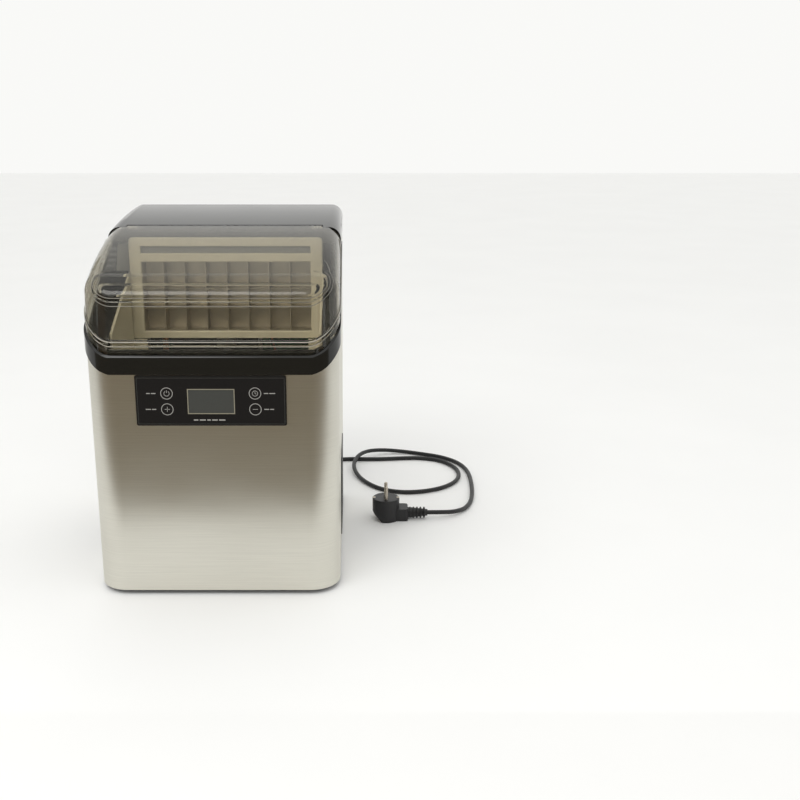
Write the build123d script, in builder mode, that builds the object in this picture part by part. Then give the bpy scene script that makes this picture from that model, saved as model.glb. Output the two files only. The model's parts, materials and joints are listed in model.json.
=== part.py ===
from build123d import *
import math
import os

os.makedirs("parts", exist_ok=True)

# Countertop ice maker. Millimetres, +Z up, front faces -Y.
# Origin: centre of the footprint at the height of the surface it stands on.

# ---------------------------------------------------------------- driving dimensions
HALF_WIDTH = 145.0        # outer half width of the steel casing
FRONT = -175.0            # front face of the steel casing
BACK = 160.0              # rear face of the steel casing
STEEL = 1.0               # casing sheet thickness
CORNER_RADIUS = 36.0      # upright front corners
REAR_RADIUS = 12.0        # upright rear corners
BODY_BOTTOM = 6.0         # underside of casing and base pan, the height of the feet
SEAM_HEIGHT = 398.0       # level seam under the rear cover
PLASTIC = 2.5             # wall of the moulded covers

BAND_BOTTOM = 272.0       # lower edge of the black rim at the front
BAND_TOP = 292.0          # upper edge of the black rim at the front
BAND_PROUD = 2.0          # the rim stands out from the steel by this much
SLOPE = 0.62              # rise of the rim per millimetre towards the back
SLOPE_START = 4.5         # extra rise that the straight part of the slope carries
# depth behind the front and rise, where the edge curves up round the front corners
EDGE_CURVE = [
    (-1.6, 0), (-0.8, 1.0), (0.5, 2.5), (2.2, 4.3), (4.5, 6.6), (7.5, 9.8), (11, 13.4),
    (15, 17.2), (20, 21.4), (28, 27.0), (36, 31.8), (50, 39.5), (70, 50.0), (95, 63.4),
]
DECK_HEIGHT = 290.0       # flat deck behind the front of the rim

LID_HALF_WIDTH = 146.5
LID_SIDE_DRAFT = 0.012
COVER_HALF_WIDTH = 145.5
LID_FRONT = FRONT - 0.5
LID_BOTTOM = BAND_TOP + 1.0
LID_DRAFT = math.tan(math.radians(8))
LID_EDGE_RADIUS = 20.0
COVER_EDGE_RADIUS = 15.0
COVER_REAR_RADIUS = 12.0
CREASE = (FRONT + 8.5, 364.5)        # front crease of the lid, (Y, Z)
ARC_MIDDLE = (FRONT + 90, 401.0)
ARC_END = (FRONT + 178, 421.0)       # the lid meets the rear cover here
COVER_START = (FRONT + 140, 414.5)   # the cover's crown, carried forward under the lid
COVER_MIDDLE = (FRONT + 250, 429.5)
TOP_HEIGHT = 434.0

HINGE_Y = FRONT + 173.2
HINGE_Z = 415.6
BARREL_RADIUS = 4.5
HINGE_GAP_RADIUS = 6.4
BARREL_HALF = 121.4                  # half length of the lid's hinge barrel
TAB_START = 122.6                    # the cover's side tabs start here
LID_SIDE_END = FRONT + 165.0         # rear edge of the lid beside the tabs
TAB_FRONT = FRONT + 166.5
PIN_RADIUS = 1.5
PIN_CLEARANCE = 0.05

PANEL_HALF_WIDTH = 85.5
PANEL_BOTTOM = 212.5
PANEL_TOP = 271.5
PANEL_THICKNESS = 1.2
LCD_CENTRE_Z = 241.0
KEY_X = 50.0
KEY_Z = (250.5, 231.8)
KEY_OUTER = 7.0
KEY_INNER = 6.2

LINER_HALF = 124.0
LINER_FRONT = FRONT + 42.0
LINER_BACK = FRONT + 171.0
LINER_FLOOR = 105.0
LINER_WALL = 3.0
DROP_HALF = 104.0

FRAME_FRONT = FRONT + 172.0
FRAME_BACK = FRONT + 175.0
GRID_HALF = 107.0
GRID_BOTTOM = 286.0
GRID_TOP = 374.5
GRID_COLUMNS = 8
GRID_ROWS = 3
CELL_WALL = 1.2
GRID_DEPTH = 24.0

BASKET_BOTTOM = LINER_FLOOR + LINER_WALL + 0.3
BASKET_HEIGHT = 125.0
BASKET_HALF_X = 115.0
BASKET_FRONT = LINER_FRONT + 5.0
BASKET_BACK = LINER_BACK - 5.0
BASKET_WALL = 2.0

FAN_CENTRE = (127.0, 5.0, 62.0)
COMPRESSOR_CENTRE = (-72.0, 88.0)
PUMP_CENTRE = (-100.0, -25.0)

CORD_RADIUS = 3.2
GLAND_X, GLAND_Z = 92.0, 46.0
GLAND_END = BACK + 32.0


# ---------------------------------------------------------------- shared shapes
def facing(y):
    """Upright plane at depth y, seen from the front: local x is X, local y is Z."""
    return Plane(origin=(0, y, 0), x_dir=(1, 0, 0), z_dir=(0, -1, 0))


def across(x):
    """Upright plane at width x, seen from the side: local x is Y, local y is Z."""
    return Plane.YZ.offset(x)


def plan_outline(z, half_width, front, back, front_radius, back_radius):
    with BuildSketch(Plane.XY.offset(z)) as outline:
        with Locations((0, (front + back) / 2)):
            Rectangle(2 * half_width, back - front)
        fillet(outline.vertices().group_by(Axis.Y)[0], front_radius)
        fillet(outline.vertices().group_by(Axis.Y)[-1], back_radius)
    return outline.sketch


def side_slab(points, half_width):
    """A side-view polygon carried across the width."""
    with BuildPart() as slab:
        with BuildSketch(Plane.YZ):
            with BuildLine():
                Polyline(*points, close=True)
            make_face()
        extrude(amount=half_width, both=True)
    return slab.part


def box_between(low, high):
    centre = tuple((a + b) / 2 for a, b in zip(low, high))
    with BuildPart() as block:
        with Locations(centre):
            Box(*[b - a for a, b in zip(low, high)])
    return block.part


def edge_rise(depth):
    """How far the shared edge has risen at a depth behind the front."""
    for (near, low), (far, high) in zip(EDGE_CURVE, EDGE_CURVE[1:]):
        if depth <= far:
            return low + (high - low) * (depth - near) / (far - near)
    return SLOPE_START + SLOPE * depth


def slope_depth(lift, height):
    return (height - lift - SLOPE_START) / SLOPE


def slope_points(lift, depth):
    """The edge shared by casing, rim and lid: level at the front, then rising."""
    return [
        (FRONT - 20, lift),
        *[(FRONT + back, lift + rise) for back, rise in EDGE_CURVE if back < depth - 4],
        (FRONT + depth, lift + edge_rise(depth)),
    ]


def deck_points(lift):
    return [
        (FRONT - 20, DECK_HEIGHT + lift),
        (FRONT + 40, DECK_HEIGHT + lift),
        (FRONT + 50, DECK_HEIGHT + 13 + lift),
        (FRONT + 175, DECK_HEIGHT + 72 + lift),
        (FRONT + 230, DECK_HEIGHT + 98 + lift),
    ]


def pipe(points, radii, radius, bore=0.0):
    """A round pipe along straight runs joined by tangent arcs."""
    with BuildPart() as tube:
        with BuildLine() as path:
            FilletPolyline(*points, radius=radii)
        with BuildSketch(Plane(origin=path.line @ 0, z_dir=path.line % 0)):
            Circle(radius)
            if bore:
                Circle(bore, mode=Mode.SUBTRACT)
        sweep()
    return tube.part


# ---------------------------------------------------------------- base and feet
FOOT_RADIUS = 13.0
FOOT_STUD = 4.0
FOOT_PLACES = [
    ("foot_front_left", -108, -142),
    ("foot_front_right", 108, -142),
    ("foot_rear_left", -120, 143),
    ("foot_rear_right", 120, 143),
]
BASE_FLOOR = BODY_BOTTOM + 3.0
BASE_RIM = 24.0

with BuildPart() as base_pan:
    extrude(
        plan_outline(BODY_BOTTOM, HALF_WIDTH - 1.5, FRONT + 1.5, BACK - 1.5, 34.5, 10.5),
        amount=BASE_RIM - BODY_BOTTOM,
    )
    extrude(
        plan_outline(BASE_FLOOR, HALF_WIDTH - 4, FRONT + 4, BACK - 4, 32, 8),
        amount=BASE_RIM,
        mode=Mode.SUBTRACT,
    )
    with Locations([(x, y, BODY_BOTTOM) for _, x, y in FOOT_PLACES]):
        Cylinder(FOOT_STUD + 0.05, 8, mode=Mode.SUBTRACT)
base_pan.part.label = "base_pan"
export_step(base_pan.part, "parts/base_pan.step")

for name, x, y in FOOT_PLACES:
    with BuildPart(Plane(origin=(x, y, 0))) as foot:
        with BuildSketch(Plane(origin=(x, y, 0), x_dir=(1, 0, 0), z_dir=(0, -1, 0))):
            with BuildLine():
                Polyline(
                    (0, 0),
                    (FOOT_RADIUS - 1, 0),
                    (FOOT_RADIUS, 1),
                    (FOOT_RADIUS - 1, BODY_BOTTOM),
                    (FOOT_STUD, BODY_BOTTOM),
                    (FOOT_STUD, BASE_FLOOR + 0.1),
                    (FOOT_STUD + 1, BASE_FLOOR + 0.3),
                    (FOOT_STUD - 0.5, BASE_FLOOR + 2),
                    (0, BASE_FLOOR + 2),
                    close=True,
                )
            make_face()
        revolve(axis=Axis((x, y, 0), (0, 0, 1)))
    foot.part.label = name
    export_step(foot.part, f"parts/{name}.step")

# ---------------------------------------------------------------- steel casing
VENT_Y = (-45.0, 55.0)
VENT_Z = (28.0, 124.0)
REAR_OPENING_HALF = 124.0
REAR_OPENING_Z = (28.0, 390.0)
SCREW_PLACES = [(x, z) for x in (-129.0, 129.0) for z in (50, 160, 270, 380)]
above_casing = slope_points(BAND_BOTTOM, slope_depth(BAND_BOTTOM, SEAM_HEIGHT)) + [
    (BACK + 10, SEAM_HEIGHT),
    (BACK + 10, 480),
    (FRONT - 20, 480),
]

with BuildPart() as steel_wrap:
    extrude(
        plan_outline(BODY_BOTTOM, HALF_WIDTH, FRONT, BACK, CORNER_RADIUS, REAR_RADIUS),
        amount=SEAM_HEIGHT - BODY_BOTTOM,
    )
    extrude(
        plan_outline(
            BODY_BOTTOM,
            HALF_WIDTH - STEEL,
            FRONT + STEEL,
            BACK - STEEL,
            CORNER_RADIUS - STEEL,
            REAR_RADIUS - STEEL,
        ),
        amount=SEAM_HEIGHT - BODY_BOTTOM,
        mode=Mode.SUBTRACT,
    )
    add(side_slab(above_casing, 200), mode=Mode.SUBTRACT)
    add(
        box_between(
            (-REAR_OPENING_HALF, BACK - 5, REAR_OPENING_Z[0]),
            (REAR_OPENING_HALF, BACK + 5, REAR_OPENING_Z[1]),
        ),
        mode=Mode.SUBTRACT,
    )
    with BuildSketch(facing(BACK + 1)):
        with Locations(SCREW_PLACES):
            Circle(1.6)
    extrude(amount=5, mode=Mode.SUBTRACT)
    add(box_between((-80, FRONT - 5, 217), (80, FRONT + 5, 267)), mode=Mode.SUBTRACT)
    add(
        box_between((-160, VENT_Y[0], VENT_Z[0]), (160, VENT_Y[1], VENT_Z[1])),
        mode=Mode.SUBTRACT,
    )
steel_wrap.part.label = "steel_wrap"
export_step(steel_wrap.part, "parts/steel_wrap.step")

# ---------------------------------------------------------------- side grilles
GRILLE_LIP = 5.0
for name, side in (("grille_left", -1), ("grille_right", 1)):
    outer_face = side * (HALF_WIDTH + 1.2)
    inner_face = side * (HALF_WIDTH - 4.0)
    mid_y = sum(VENT_Y) / 2
    mid_z = sum(VENT_Z) / 2
    vent_depth = VENT_Y[1] - VENT_Y[0]
    vent_height = VENT_Z[1] - VENT_Z[0]
    with BuildPart() as grille:
        with BuildSketch(across(side * HALF_WIDTH)):
            with Locations((mid_y, mid_z)):
                RectangleRounded(vent_depth + 2 * GRILLE_LIP, vent_height + 2 * GRILLE_LIP, 4)
        extrude(amount=side * 1.2)
        with BuildSketch(across(side * HALF_WIDTH)):
            with Locations((mid_y, mid_z)):
                Rectangle(vent_depth - 1, vent_height - 1)
        extrude(amount=-side * 4.0)
        with BuildSketch(across(outer_face)):
            with Locations((mid_y, mid_z)):
                with GridLocations(0, 7.0, 1, 12):
                    SlotOverall(vent_depth - 8, 3.6)
        extrude(amount=-side * 8.0, mode=Mode.SUBTRACT)
    grille.part.label = name
    export_step(grille.part, f"parts/{name}.step")

# ---------------------------------------------------------------- rear panel
PANEL_FRONT_Y = BACK - 4.0
PANEL_BACK_Y = BACK - 1.5
INLET_X, INLET_Z = -20.0, 250.0
DRAIN_X, DRAIN_Z = 20.0, 46.0

with BuildPart() as rear_panel:
    with BuildSketch(facing(PANEL_BACK_Y)):
        with Locations((0, (26 + 395) / 2)):
            Rectangle(2 * 134, 395 - 26)
    extrude(amount=PANEL_BACK_Y - PANEL_FRONT_Y)
    with BuildSketch(facing(BACK)):
        with Locations((-62, 110), (62, 110), (-62, 340), (62, 340)):
            with GridLocations(0, 8, 1, 9):
                SlotOverall(86, 3.6)
        with Locations((GLAND_X, GLAND_Z)):
            Circle(6.6)
        with Locations((INLET_X, INLET_Z)):
            Circle(8.1)
        with Locations((DRAIN_X, DRAIN_Z)):
            Circle(9.1)
        with Locations(SCREW_PLACES):
            Circle(1.6)
    extrude(amount=20, mode=Mode.SUBTRACT)
rear_panel.part.label = "rear_panel"
export_step(rear_panel.part, "parts/rear_panel.step")

# ---------------------------------------------------------------- black rim round the mouth
DECK_THICKNESS = 3.0
APRON_BOTTOM = 277.0
RIM_WALL = 5.0


def rim_slice(inset, side_points):
    """The casing's plan, shrunk by inset, where it passes through a side-view polygon."""
    with BuildPart() as prism:
        extrude(
            plan_outline(
                200, HALF_WIDTH - inset, FRONT + inset, BACK, CORNER_RADIUS - inset, 5
            ),
            amount=220,
        )
        add(side_slab(side_points, 200), mode=Mode.INTERSECT)
    return prism.part


band_gap = 0.3
band_region = slope_points(BAND_BOTTOM + band_gap, slope_depth(BAND_BOTTOM + band_gap, SEAM_HEIGHT))
band_region += slope_points(BAND_TOP, slope_depth(BAND_TOP, SEAM_HEIGHT))[::-1]
wall_region = deck_points(-DECK_THICKNESS)[:-1] + [(FRONT + 196, SEAM_HEIGHT)]
wall_region += slope_points(BAND_TOP, slope_depth(BAND_TOP, SEAM_HEIGHT))[::-1]

above_deck = deck_points(0) + [(FRONT + 230, 480), (FRONT - 20, 480)]
below_deck = deck_points(-DECK_THICKNESS) + [(FRONT + 230, 150), (FRONT - 20, 150)]

with BuildPart() as top_rim:
    add(rim_slice(-BAND_PROUD, band_region))
    add(rim_slice(1.4, wall_region))
    add(rim_slice(RIM_WALL, above_deck), mode=Mode.SUBTRACT)
    add(rim_slice(RIM_WALL, below_deck), mode=Mode.SUBTRACT)
    add(
        box_between(
            (-LINER_HALF - 0.6, LINER_FRONT - 0.6, 250), (LINER_HALF + 0.6, BACK + 20, 480)
        ),
        mode=Mode.SUBTRACT,
    )
    # apron in front of the chamber's front wall
    add(
        box_between(
            (-LINER_HALF + 12, LINER_FRONT - 3.1, APRON_BOTTOM),
            (LINER_HALF - 12, LINER_FRONT - 0.6, DECK_HEIGHT - 0.5),
        )
    )
top_rim.part.label = "top_rim"
export_step(top_rim.part, "parts/top_rim.step")
print("top_rim solids", len(top_rim.solids()))


# ---------------------------------------------------------------- lid
def lid_prism(inset, low, high):
    """Rounded plan whose front leans back as it rises."""
    with BuildPart() as prism:
        for z in (low, high):
            lean = (z - LID_BOTTOM) * LID_DRAFT
            with BuildSketch(Plane.XY.offset(z)) as section:
                half_width = LID_HALF_WIDTH - inset - (z - LID_BOTTOM) * LID_SIDE_DRAFT
                with Locations((0, (LID_FRONT + lean + inset + BACK) / 2)):
                    Rectangle(2 * half_width, BACK - LID_FRONT - lean - inset)
                fillet(section.vertices().group_by(Axis.Y)[0], 37 - inset)
        loft(ruled=True)
    return prism.part


def top_curve_slab(drop, front_y, rear_y, floor_points, half_width):
    """Side view under the crowned top, lowered by drop, carried across the width."""
    with BuildPart() as slab:
        with BuildSketch(Plane.YZ):
            with BuildLine():
                arc = ThreePointArc(
                    (CREASE[0], CREASE[1] - drop),
                    (ARC_MIDDLE[0], ARC_MIDDLE[1] - drop),
                    (ARC_END[0], ARC_END[1] - drop),
                )
                start_slope = arc % 0
                end_slope = arc % 1
                rise = start_slope.Y / start_slope.X
                fall = end_slope.Y / end_slope.X
                ahead = (front_y, CREASE[1] - drop - rise * (CREASE[0] - front_y))
                behind = (rear_y, ARC_END[1] - drop + fall * (rear_y - ARC_END[0]))
                Line(ahead, arc @ 0)
                Line(arc @ 1, behind)
                Polyline(behind, *floor_points, ahead)
            make_face()
        extrude(amount=half_width, both=True)
    return slab.part


def lid_shape(inset, floor_points):
    """The lid's outer form shrunk by inset, with its long upper edges rounded."""
    with BuildPart() as shape:
        add(lid_prism(inset, 240, 440))
        add(
            top_curve_slab(
                inset, FRONT - 20, FRONT + 200, [(FRONT + 200, 220), (FRONT - 20, 220)], 200
            ),
            mode=Mode.INTERSECT,
        )
        upper = shape.edges().filter_by(lambda e: e.bounding_box().min.Z > 350)
        across_rear = upper.filter_by(
            lambda e: e.bounding_box().size.X > 240 and e.bounding_box().min.Y > -100
        )
        fillet([edge for edge in upper if edge not in across_rear], LID_EDGE_RADIUS - inset)
        add(side_slab(floor_points, 200), mode=Mode.SUBTRACT)
    return shape.part


below_lid = slope_points(LID_BOTTOM, 230) + [(FRONT + 230, 150), (FRONT - 20, 150)]
below_cavity = [(FRONT - 20, 230), (FRONT + 230, 230), (FRONT + 230, 200), (FRONT - 20, 200)]


def bead(low, high, depth):
    """A raised line that runs round the lid's leaning skirt between two heights."""
    lean = (low - LID_BOTTOM) * LID_DRAFT
    low_points = [(y + lean, z) for y, z in slope_points(low, depth)]
    high_points = [(y + lean, z) for y, z in slope_points(high, depth)]
    with BuildPart() as ring:
        add(lid_shape(-0.9, below_cavity))
        add(side_slab(low_points + high_points[::-1], 200), mode=Mode.INTERSECT)
        add(lid_shape(PLASTIC - 0.5, below_cavity), mode=Mode.SUBTRACT)
        add(box_between((-200, LID_SIDE_END, 200), (200, BACK, 500)), mode=Mode.SUBTRACT)
    return ring.part


with BuildPart() as lid:
    add(lid_shape(0, below_lid))
    add(lid_shape(PLASTIC, below_cavity), mode=Mode.SUBTRACT)
    for side in (-1, 1):
        low_x, high_x = sorted((side * BARREL_HALF, side * 200))
        add(
            box_between((low_x, LID_SIDE_END, 300), (high_x, BACK + 50, 500)),
            mode=Mode.SUBTRACT,
        )
    add(box_between((-200, HINGE_Y, 300), (200, BACK + 50, 500)), mode=Mode.SUBTRACT)
    # two beads round the skirt, and a lip round the lower edge
    add(bead(BAND_TOP + 12, BAND_TOP + 17, 150))
    add(bead(BAND_TOP + 61, BAND_TOP + 65.5, 60))
    with BuildSketch(across(-BARREL_HALF)):
        with Locations((HINGE_Y, HINGE_Z)):
            Circle(BARREL_RADIUS)
    extrude(amount=2 * BARREL_HALF)
    with BuildSketch(across(-BARREL_HALF)):
        with Locations((HINGE_Y, HINGE_Z)):
            Circle(PIN_RADIUS + PIN_CLEARANCE)
    extrude(amount=14, mode=Mode.SUBTRACT)
    with BuildSketch(across(BARREL_HALF)):
        with Locations((HINGE_Y, HINGE_Z)):
            Circle(PIN_RADIUS + PIN_CLEARANCE)
    extrude(amount=-14, mode=Mode.SUBTRACT)
lid.part.label = "lid"
export_step(lid.part, "parts/lid.step")
print("lid solids", len(lid.solids()), lid.part.volume, lid.part.bounding_box())

# ---------------------------------------------------------------- rear cover and hinge pins
COVER_BOTTOM = SEAM_HEIGHT + 0.5
CHEEK_END = 126.5


def cover_shape(inset, bottom):
    """Crowned cover behind the lid, shrunk by inset, open to the front."""
    with BuildPart() as shape:
        with BuildSketch(Plane.YZ):
            with BuildLine():
                arc = ThreePointArc(
                    (COVER_START[0], COVER_START[1] - inset),
                    (COVER_MIDDLE[0], COVER_MIDDLE[1] - inset),
                    (BACK - inset, TOP_HEIGHT - inset),
                )
                Polyline(arc @ 1, (BACK - inset, bottom), (COVER_START[0], bottom), arc @ 0)
            make_face()
        extrude(amount=COVER_HALF_WIDTH - inset, both=True)
        long_edges = shape.edges().filter_by(
            lambda e: e.bounding_box().min.Z > COVER_START[1] - 6
            and e.bounding_box().size.X < 1
        )
        fillet(long_edges, COVER_EDGE_RADIUS - inset)
        rear_edges = shape.edges().filter_by(
            lambda e: e.bounding_box().min.Y > BACK - inset - 0.1
            and e.bounding_box().max.Z > bottom + 1
        )
        fillet(rear_edges, COVER_REAR_RADIUS - inset)
    return shape.part


with BuildPart() as cover_ribs:
    for side in (-1, 1):
        low_x, high_x = sorted((side * TAB_START, side * CHEEK_END))
        add(box_between((low_x, TAB_FRONT, 300), (high_x, HINGE_Y + 12, 500)))
        low_x, high_x = sorted((side * TAB_START, side * 200))
        add(box_between((low_x, TAB_FRONT, 300), (high_x, TAB_FRONT + PLASTIC, 500)))
    add(box_between((-124, HINGE_Y + 8, 300), (124, HINGE_Y + 8 + PLASTIC, 500)))
    add(cover_shape(1.0, COVER_BOTTOM), mode=Mode.INTERSECT)

with BuildPart() as rear_cover:
    add(cover_shape(0, COVER_BOTTOM))
    add(cover_shape(PLASTIC, 350), mode=Mode.SUBTRACT)
    add(cover_ribs.part)
    add(box_between((-200, FRONT, 300), (200, TAB_FRONT, 500)), mode=Mode.SUBTRACT)
    add(
        box_between((-TAB_START, FRONT, 300), (TAB_START, HINGE_Y, 500)),
        mode=Mode.SUBTRACT,
    )
    with BuildSketch(across(-TAB_START)):
        with Locations((HINGE_Y, HINGE_Z)):
            Circle(HINGE_GAP_RADIUS)
    extrude(amount=2 * TAB_START, mode=Mode.SUBTRACT)
    with BuildSketch(across(-CHEEK_END - 1)):
        with Locations((HINGE_Y, HINGE_Z)):
            Circle(PIN_RADIUS)
    extrude(amount=2 * CHEEK_END + 2, mode=Mode.SUBTRACT)
rear_cover.part.label = "rear_cover"
export_step(rear_cover.part, "parts/rear_cover.step")
print("cover solids", len(rear_cover.solids()), rear_cover.part.bounding_box())

for name, side in (("hinge_pin_left", -1), ("hinge_pin_right", 1)):
    with BuildPart() as hinge_pin:
        with BuildSketch(across(side * (BARREL_HALF - 13))):
            with Locations((HINGE_Y, HINGE_Z)):
                Circle(PIN_RADIUS)
        extrude(amount=side * (CHEEK_END - BARREL_HALF + 13))
        chamfer(hinge_pin.edges().filter_by(GeomType.CIRCLE), 0.3)
    hinge_pin.part.label = name
    export_step(hinge_pin.part, f"parts/{name}.step")

# ---------------------------------------------------------------- control panel
PANEL_FACE = FRONT - PANEL_THICKNESS
LCD_OUTER = (53.6, 29.5)
LCD_INNER = (51.6, 27.5)
KEY_PLACES = [(x, z) for x in (-KEY_X, KEY_X) for z in KEY_Z]

with BuildPart() as control_panel:
    with BuildSketch(facing(FRONT)):
        with Locations((0, (PANEL_BOTTOM + PANEL_TOP) / 2)):
            RectangleRounded(2 * PANEL_HALF_WIDTH, PANEL_TOP - PANEL_BOTTOM, 2)
    extrude(amount=PANEL_THICKNESS)
    with BuildSketch(facing(FRONT)):
        with Locations((0, 242)):
            Rectangle(159, 49)
    extrude(amount=-1.5)
    with BuildSketch(facing(PANEL_FACE)):
        with Locations((0, LCD_CENTRE_Z)):
            Rectangle(LCD_OUTER[0] + 0.1, LCD_OUTER[1] + 0.1)
    extrude(amount=-10, mode=Mode.SUBTRACT)
    with BuildSketch(facing(PANEL_FACE)):
        with Locations(KEY_PLACES):
            Circle(KEY_OUTER + 0.05)
            Circle(KEY_INNER - 0.05, mode=Mode.SUBTRACT)
    extrude(amount=-1.0, mode=Mode.SUBTRACT)
control_panel.part.label = "control_panel"
export_step(control_panel.part, "parts/control_panel.step")

with BuildPart() as lcd_bezel:
    with BuildSketch(facing(FRONT + 1.4)):
        with Locations((0, LCD_CENTRE_Z)):
            Rectangle(*LCD_OUTER)
            Rectangle(*LCD_INNER, mode=Mode.SUBTRACT)
    extrude(amount=PANEL_THICKNESS + 1.4)
lcd_bezel.part.label = "lcd_bezel"
export_step(lcd_bezel.part, "parts/lcd_bezel.step")

with BuildPart() as lcd_window:
    with BuildSketch(facing(FRONT + 1.4)):
        with Locations((0, LCD_CENTRE_Z)):
            Rectangle(LCD_INNER[0] - 0.1, LCD_INNER[1] - 0.1)
    extrude(amount=PANEL_THICKNESS + 1.0)
lcd_window.part.label = "lcd_window"
export_step(lcd_window.part, "parts/lcd_window.step")

with BuildPart() as key_rings:
    with BuildSketch(facing(PANEL_FACE + 0.95)):
        with Locations(KEY_PLACES):
            Circle(KEY_OUTER)
            Circle(KEY_INNER, mode=Mode.SUBTRACT)
    extrude(amount=0.95)
key_rings.part.label = "key_rings"
export_step(key_rings.part, "parts/key_rings.step")

with BuildPart() as control_board:
    with BuildSketch(facing(FRONT + 4.6)):
        with Locations((0, 242)):
            Rectangle(150, 46)
            with GridLocations(142, 38, 2, 2):
                Circle(1.6, mode=Mode.SUBTRACT)
    extrude(amount=1.6)
    with BuildSketch(facing(FRONT + 3.0)):
        with Locations((0, LCD_CENTRE_Z)):
            Rectangle(52, 28)
    extrude(amount=1.4)
    with BuildSketch(facing(FRONT + 4.6)):
        with Locations((-40, 232), (38, 250)):
            Rectangle(14, 14)
        with Locations((0, 228)):
            Rectangle(30, 6)
    extrude(amount=-5)
control_board.part.label = "control_board"
export_step(control_board.part, "parts/control_board.step")

# ---------------------------------------------------------------- ice chamber
TANK_TOP = LINER_FLOOR - 0.5
with BuildPart() as chamber_liner:
    extrude(
        plan_outline(LINER_FLOOR, LINER_HALF, LINER_FRONT, LINER_BACK, 14, 3),
        amount=300,
    )
    extrude(
        plan_outline(
            LINER_FLOOR + LINER_WALL,
            LINER_HALF - LINER_WALL,
            LINER_FRONT + LINER_WALL,
            LINER_BACK - LINER_WALL,
            11,
            1,
        ),
        amount=300,
        mode=Mode.SUBTRACT,
    )
    add(
        side_slab(deck_points(1.0) + [(FRONT + 230, 480), (FRONT - 20, 480)], 200),
        mode=Mode.SUBTRACT,
    )
    add(
        box_between((-200, LINER_BACK - 3.5, GRID_BOTTOM - 10), (200, BACK, 480)),
        mode=Mode.SUBTRACT,
    )
    # low front wall, and the drop opening under the evaporator
    add(
        box_between((-200, LINER_FRONT - 1, 280), (200, LINER_FRONT + 14, 480)),
        mode=Mode.SUBTRACT,
    )
    add(
        box_between(
            (-DROP_HALF, LINER_BACK - 3.6, GRID_BOTTOM - 50), (DROP_HALF, BACK, GRID_BOTTOM - 8)
        ),
        mode=Mode.SUBTRACT,
    )
    with BuildSketch(Plane.XY.offset(LINER_FLOOR)):
        with Locations((0, -92)):
            with GridLocations(34, 0, 6, 1):
                SlotOverall(52, 20, rotation=90)
    extrude(amount=LINER_WALL, mode=Mode.SUBTRACT)
chamber_liner.part.label = "chamber_liner"
export_step(chamber_liner.part, "parts/chamber_liner.step")

TANK_HALF, TANK_FRONT, TANK_BACK = 118.0, -130.0, -54.0
with BuildPart() as water_tank:
    extrude(plan_outline(BASE_FLOOR, TANK_HALF, TANK_FRONT, TANK_BACK, 10, 10),
            amount=TANK_TOP - BASE_FLOOR)
    extrude(
        plan_outline(
            BASE_FLOOR + 2.5, TANK_HALF - 2.5, TANK_FRONT + 2.5, TANK_BACK - 2.5, 7.5, 7.5
        ),
        amount=TANK_TOP,
        mode=Mode.SUBTRACT,
    )
    with BuildSketch(facing(TANK_BACK)):
        with Locations((DRAIN_X, 18)):
            Circle(4.0)
        with Locations((PUMP_CENTRE[0], 22)):
            Circle(4.0)
    extrude(amount=5, mode=Mode.SUBTRACT)
water_tank.part.label = "water_tank"
export_step(water_tank.part, "parts/water_tank.step")

FLOAT_X, FLOAT_Y = 70.0, -92.0
with BuildPart() as float_stem:
    with Locations((FLOAT_X, FLOAT_Y, BASE_FLOOR + 2.5)):
        Cylinder(9, 3, align=(Align.CENTER, Align.CENTER, Align.MIN))
        Cylinder(3.0, 84, align=(Align.CENTER, Align.CENTER, Align.MIN))
    with Locations((FLOAT_X, FLOAT_Y, BASE_FLOOR + 78)):
        Cylinder(5, 2, align=(Align.CENTER, Align.CENTER, Align.MIN))
float_stem.part.label = "float_stem"
export_step(float_stem.part, "parts/float_stem.step")

with BuildPart() as float_ring:
    with Locations((FLOAT_X, FLOAT_Y, BASE_FLOOR + 6.0)):
        Cylinder(12, 20, align=(Align.CENTER, Align.CENTER, Align.MIN))
        Cylinder(3.08, 20, align=(Align.CENTER, Align.CENTER, Align.MIN), mode=Mode.SUBTRACT)
    fillet(float_ring.edges().filter_by(GeomType.CIRCLE).filter_by(
        lambda e: e.bounding_box().size.X > 20), 2)
float_ring.part.label = "float_ring"
export_step(float_ring.part, "parts/float_ring.step")

# ---------------------------------------------------------------- evaporator
FRAME_HALF = 122.0
FRAME_BOTTOM, FRAME_TOP = 277.0, 404.5
SLOT_Z = (385.0, 393.7)
with BuildPart() as evaporator_frame:
    with BuildSketch(facing(FRAME_BACK)):
        with Locations((0, (FRAME_BOTTOM + FRAME_TOP) / 2)):
            Rectangle(2 * FRAME_HALF, FRAME_TOP - FRAME_BOTTOM)
    extrude(amount=FRAME_BACK - FRAME_FRONT)
    frame_corners = evaporator_frame.edges().filter_by(Axis.Y).group_by(Axis.Z)[-1]
    fillet(frame_corners, 5)
    with BuildSketch(facing(FRAME_BACK)):
        with Locations((0, (GRID_BOTTOM + GRID_TOP) / 2)):
            Rectangle(2 * GRID_HALF, GRID_TOP - GRID_BOTTOM)
        with Locations((0, sum(SLOT_Z) / 2)):
            Rectangle(2 * GRID_HALF, SLOT_Z[1] - SLOT_Z[0])
    extrude(amount=10, mode=Mode.SUBTRACT)
    lips = evaporator_frame.edges().filter_by(
        lambda e: abs(e.center().Y - FRAME_FRONT) < 0.1 and e.bounding_box().max.X < GRID_HALF + 1
    )
    chamfer(lips.filter_by(GeomType.LINE), 0.8)
evaporator_frame.part.label = "evaporator_frame"
export_step(evaporator_frame.part, "parts/evaporator_frame.step")

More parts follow.
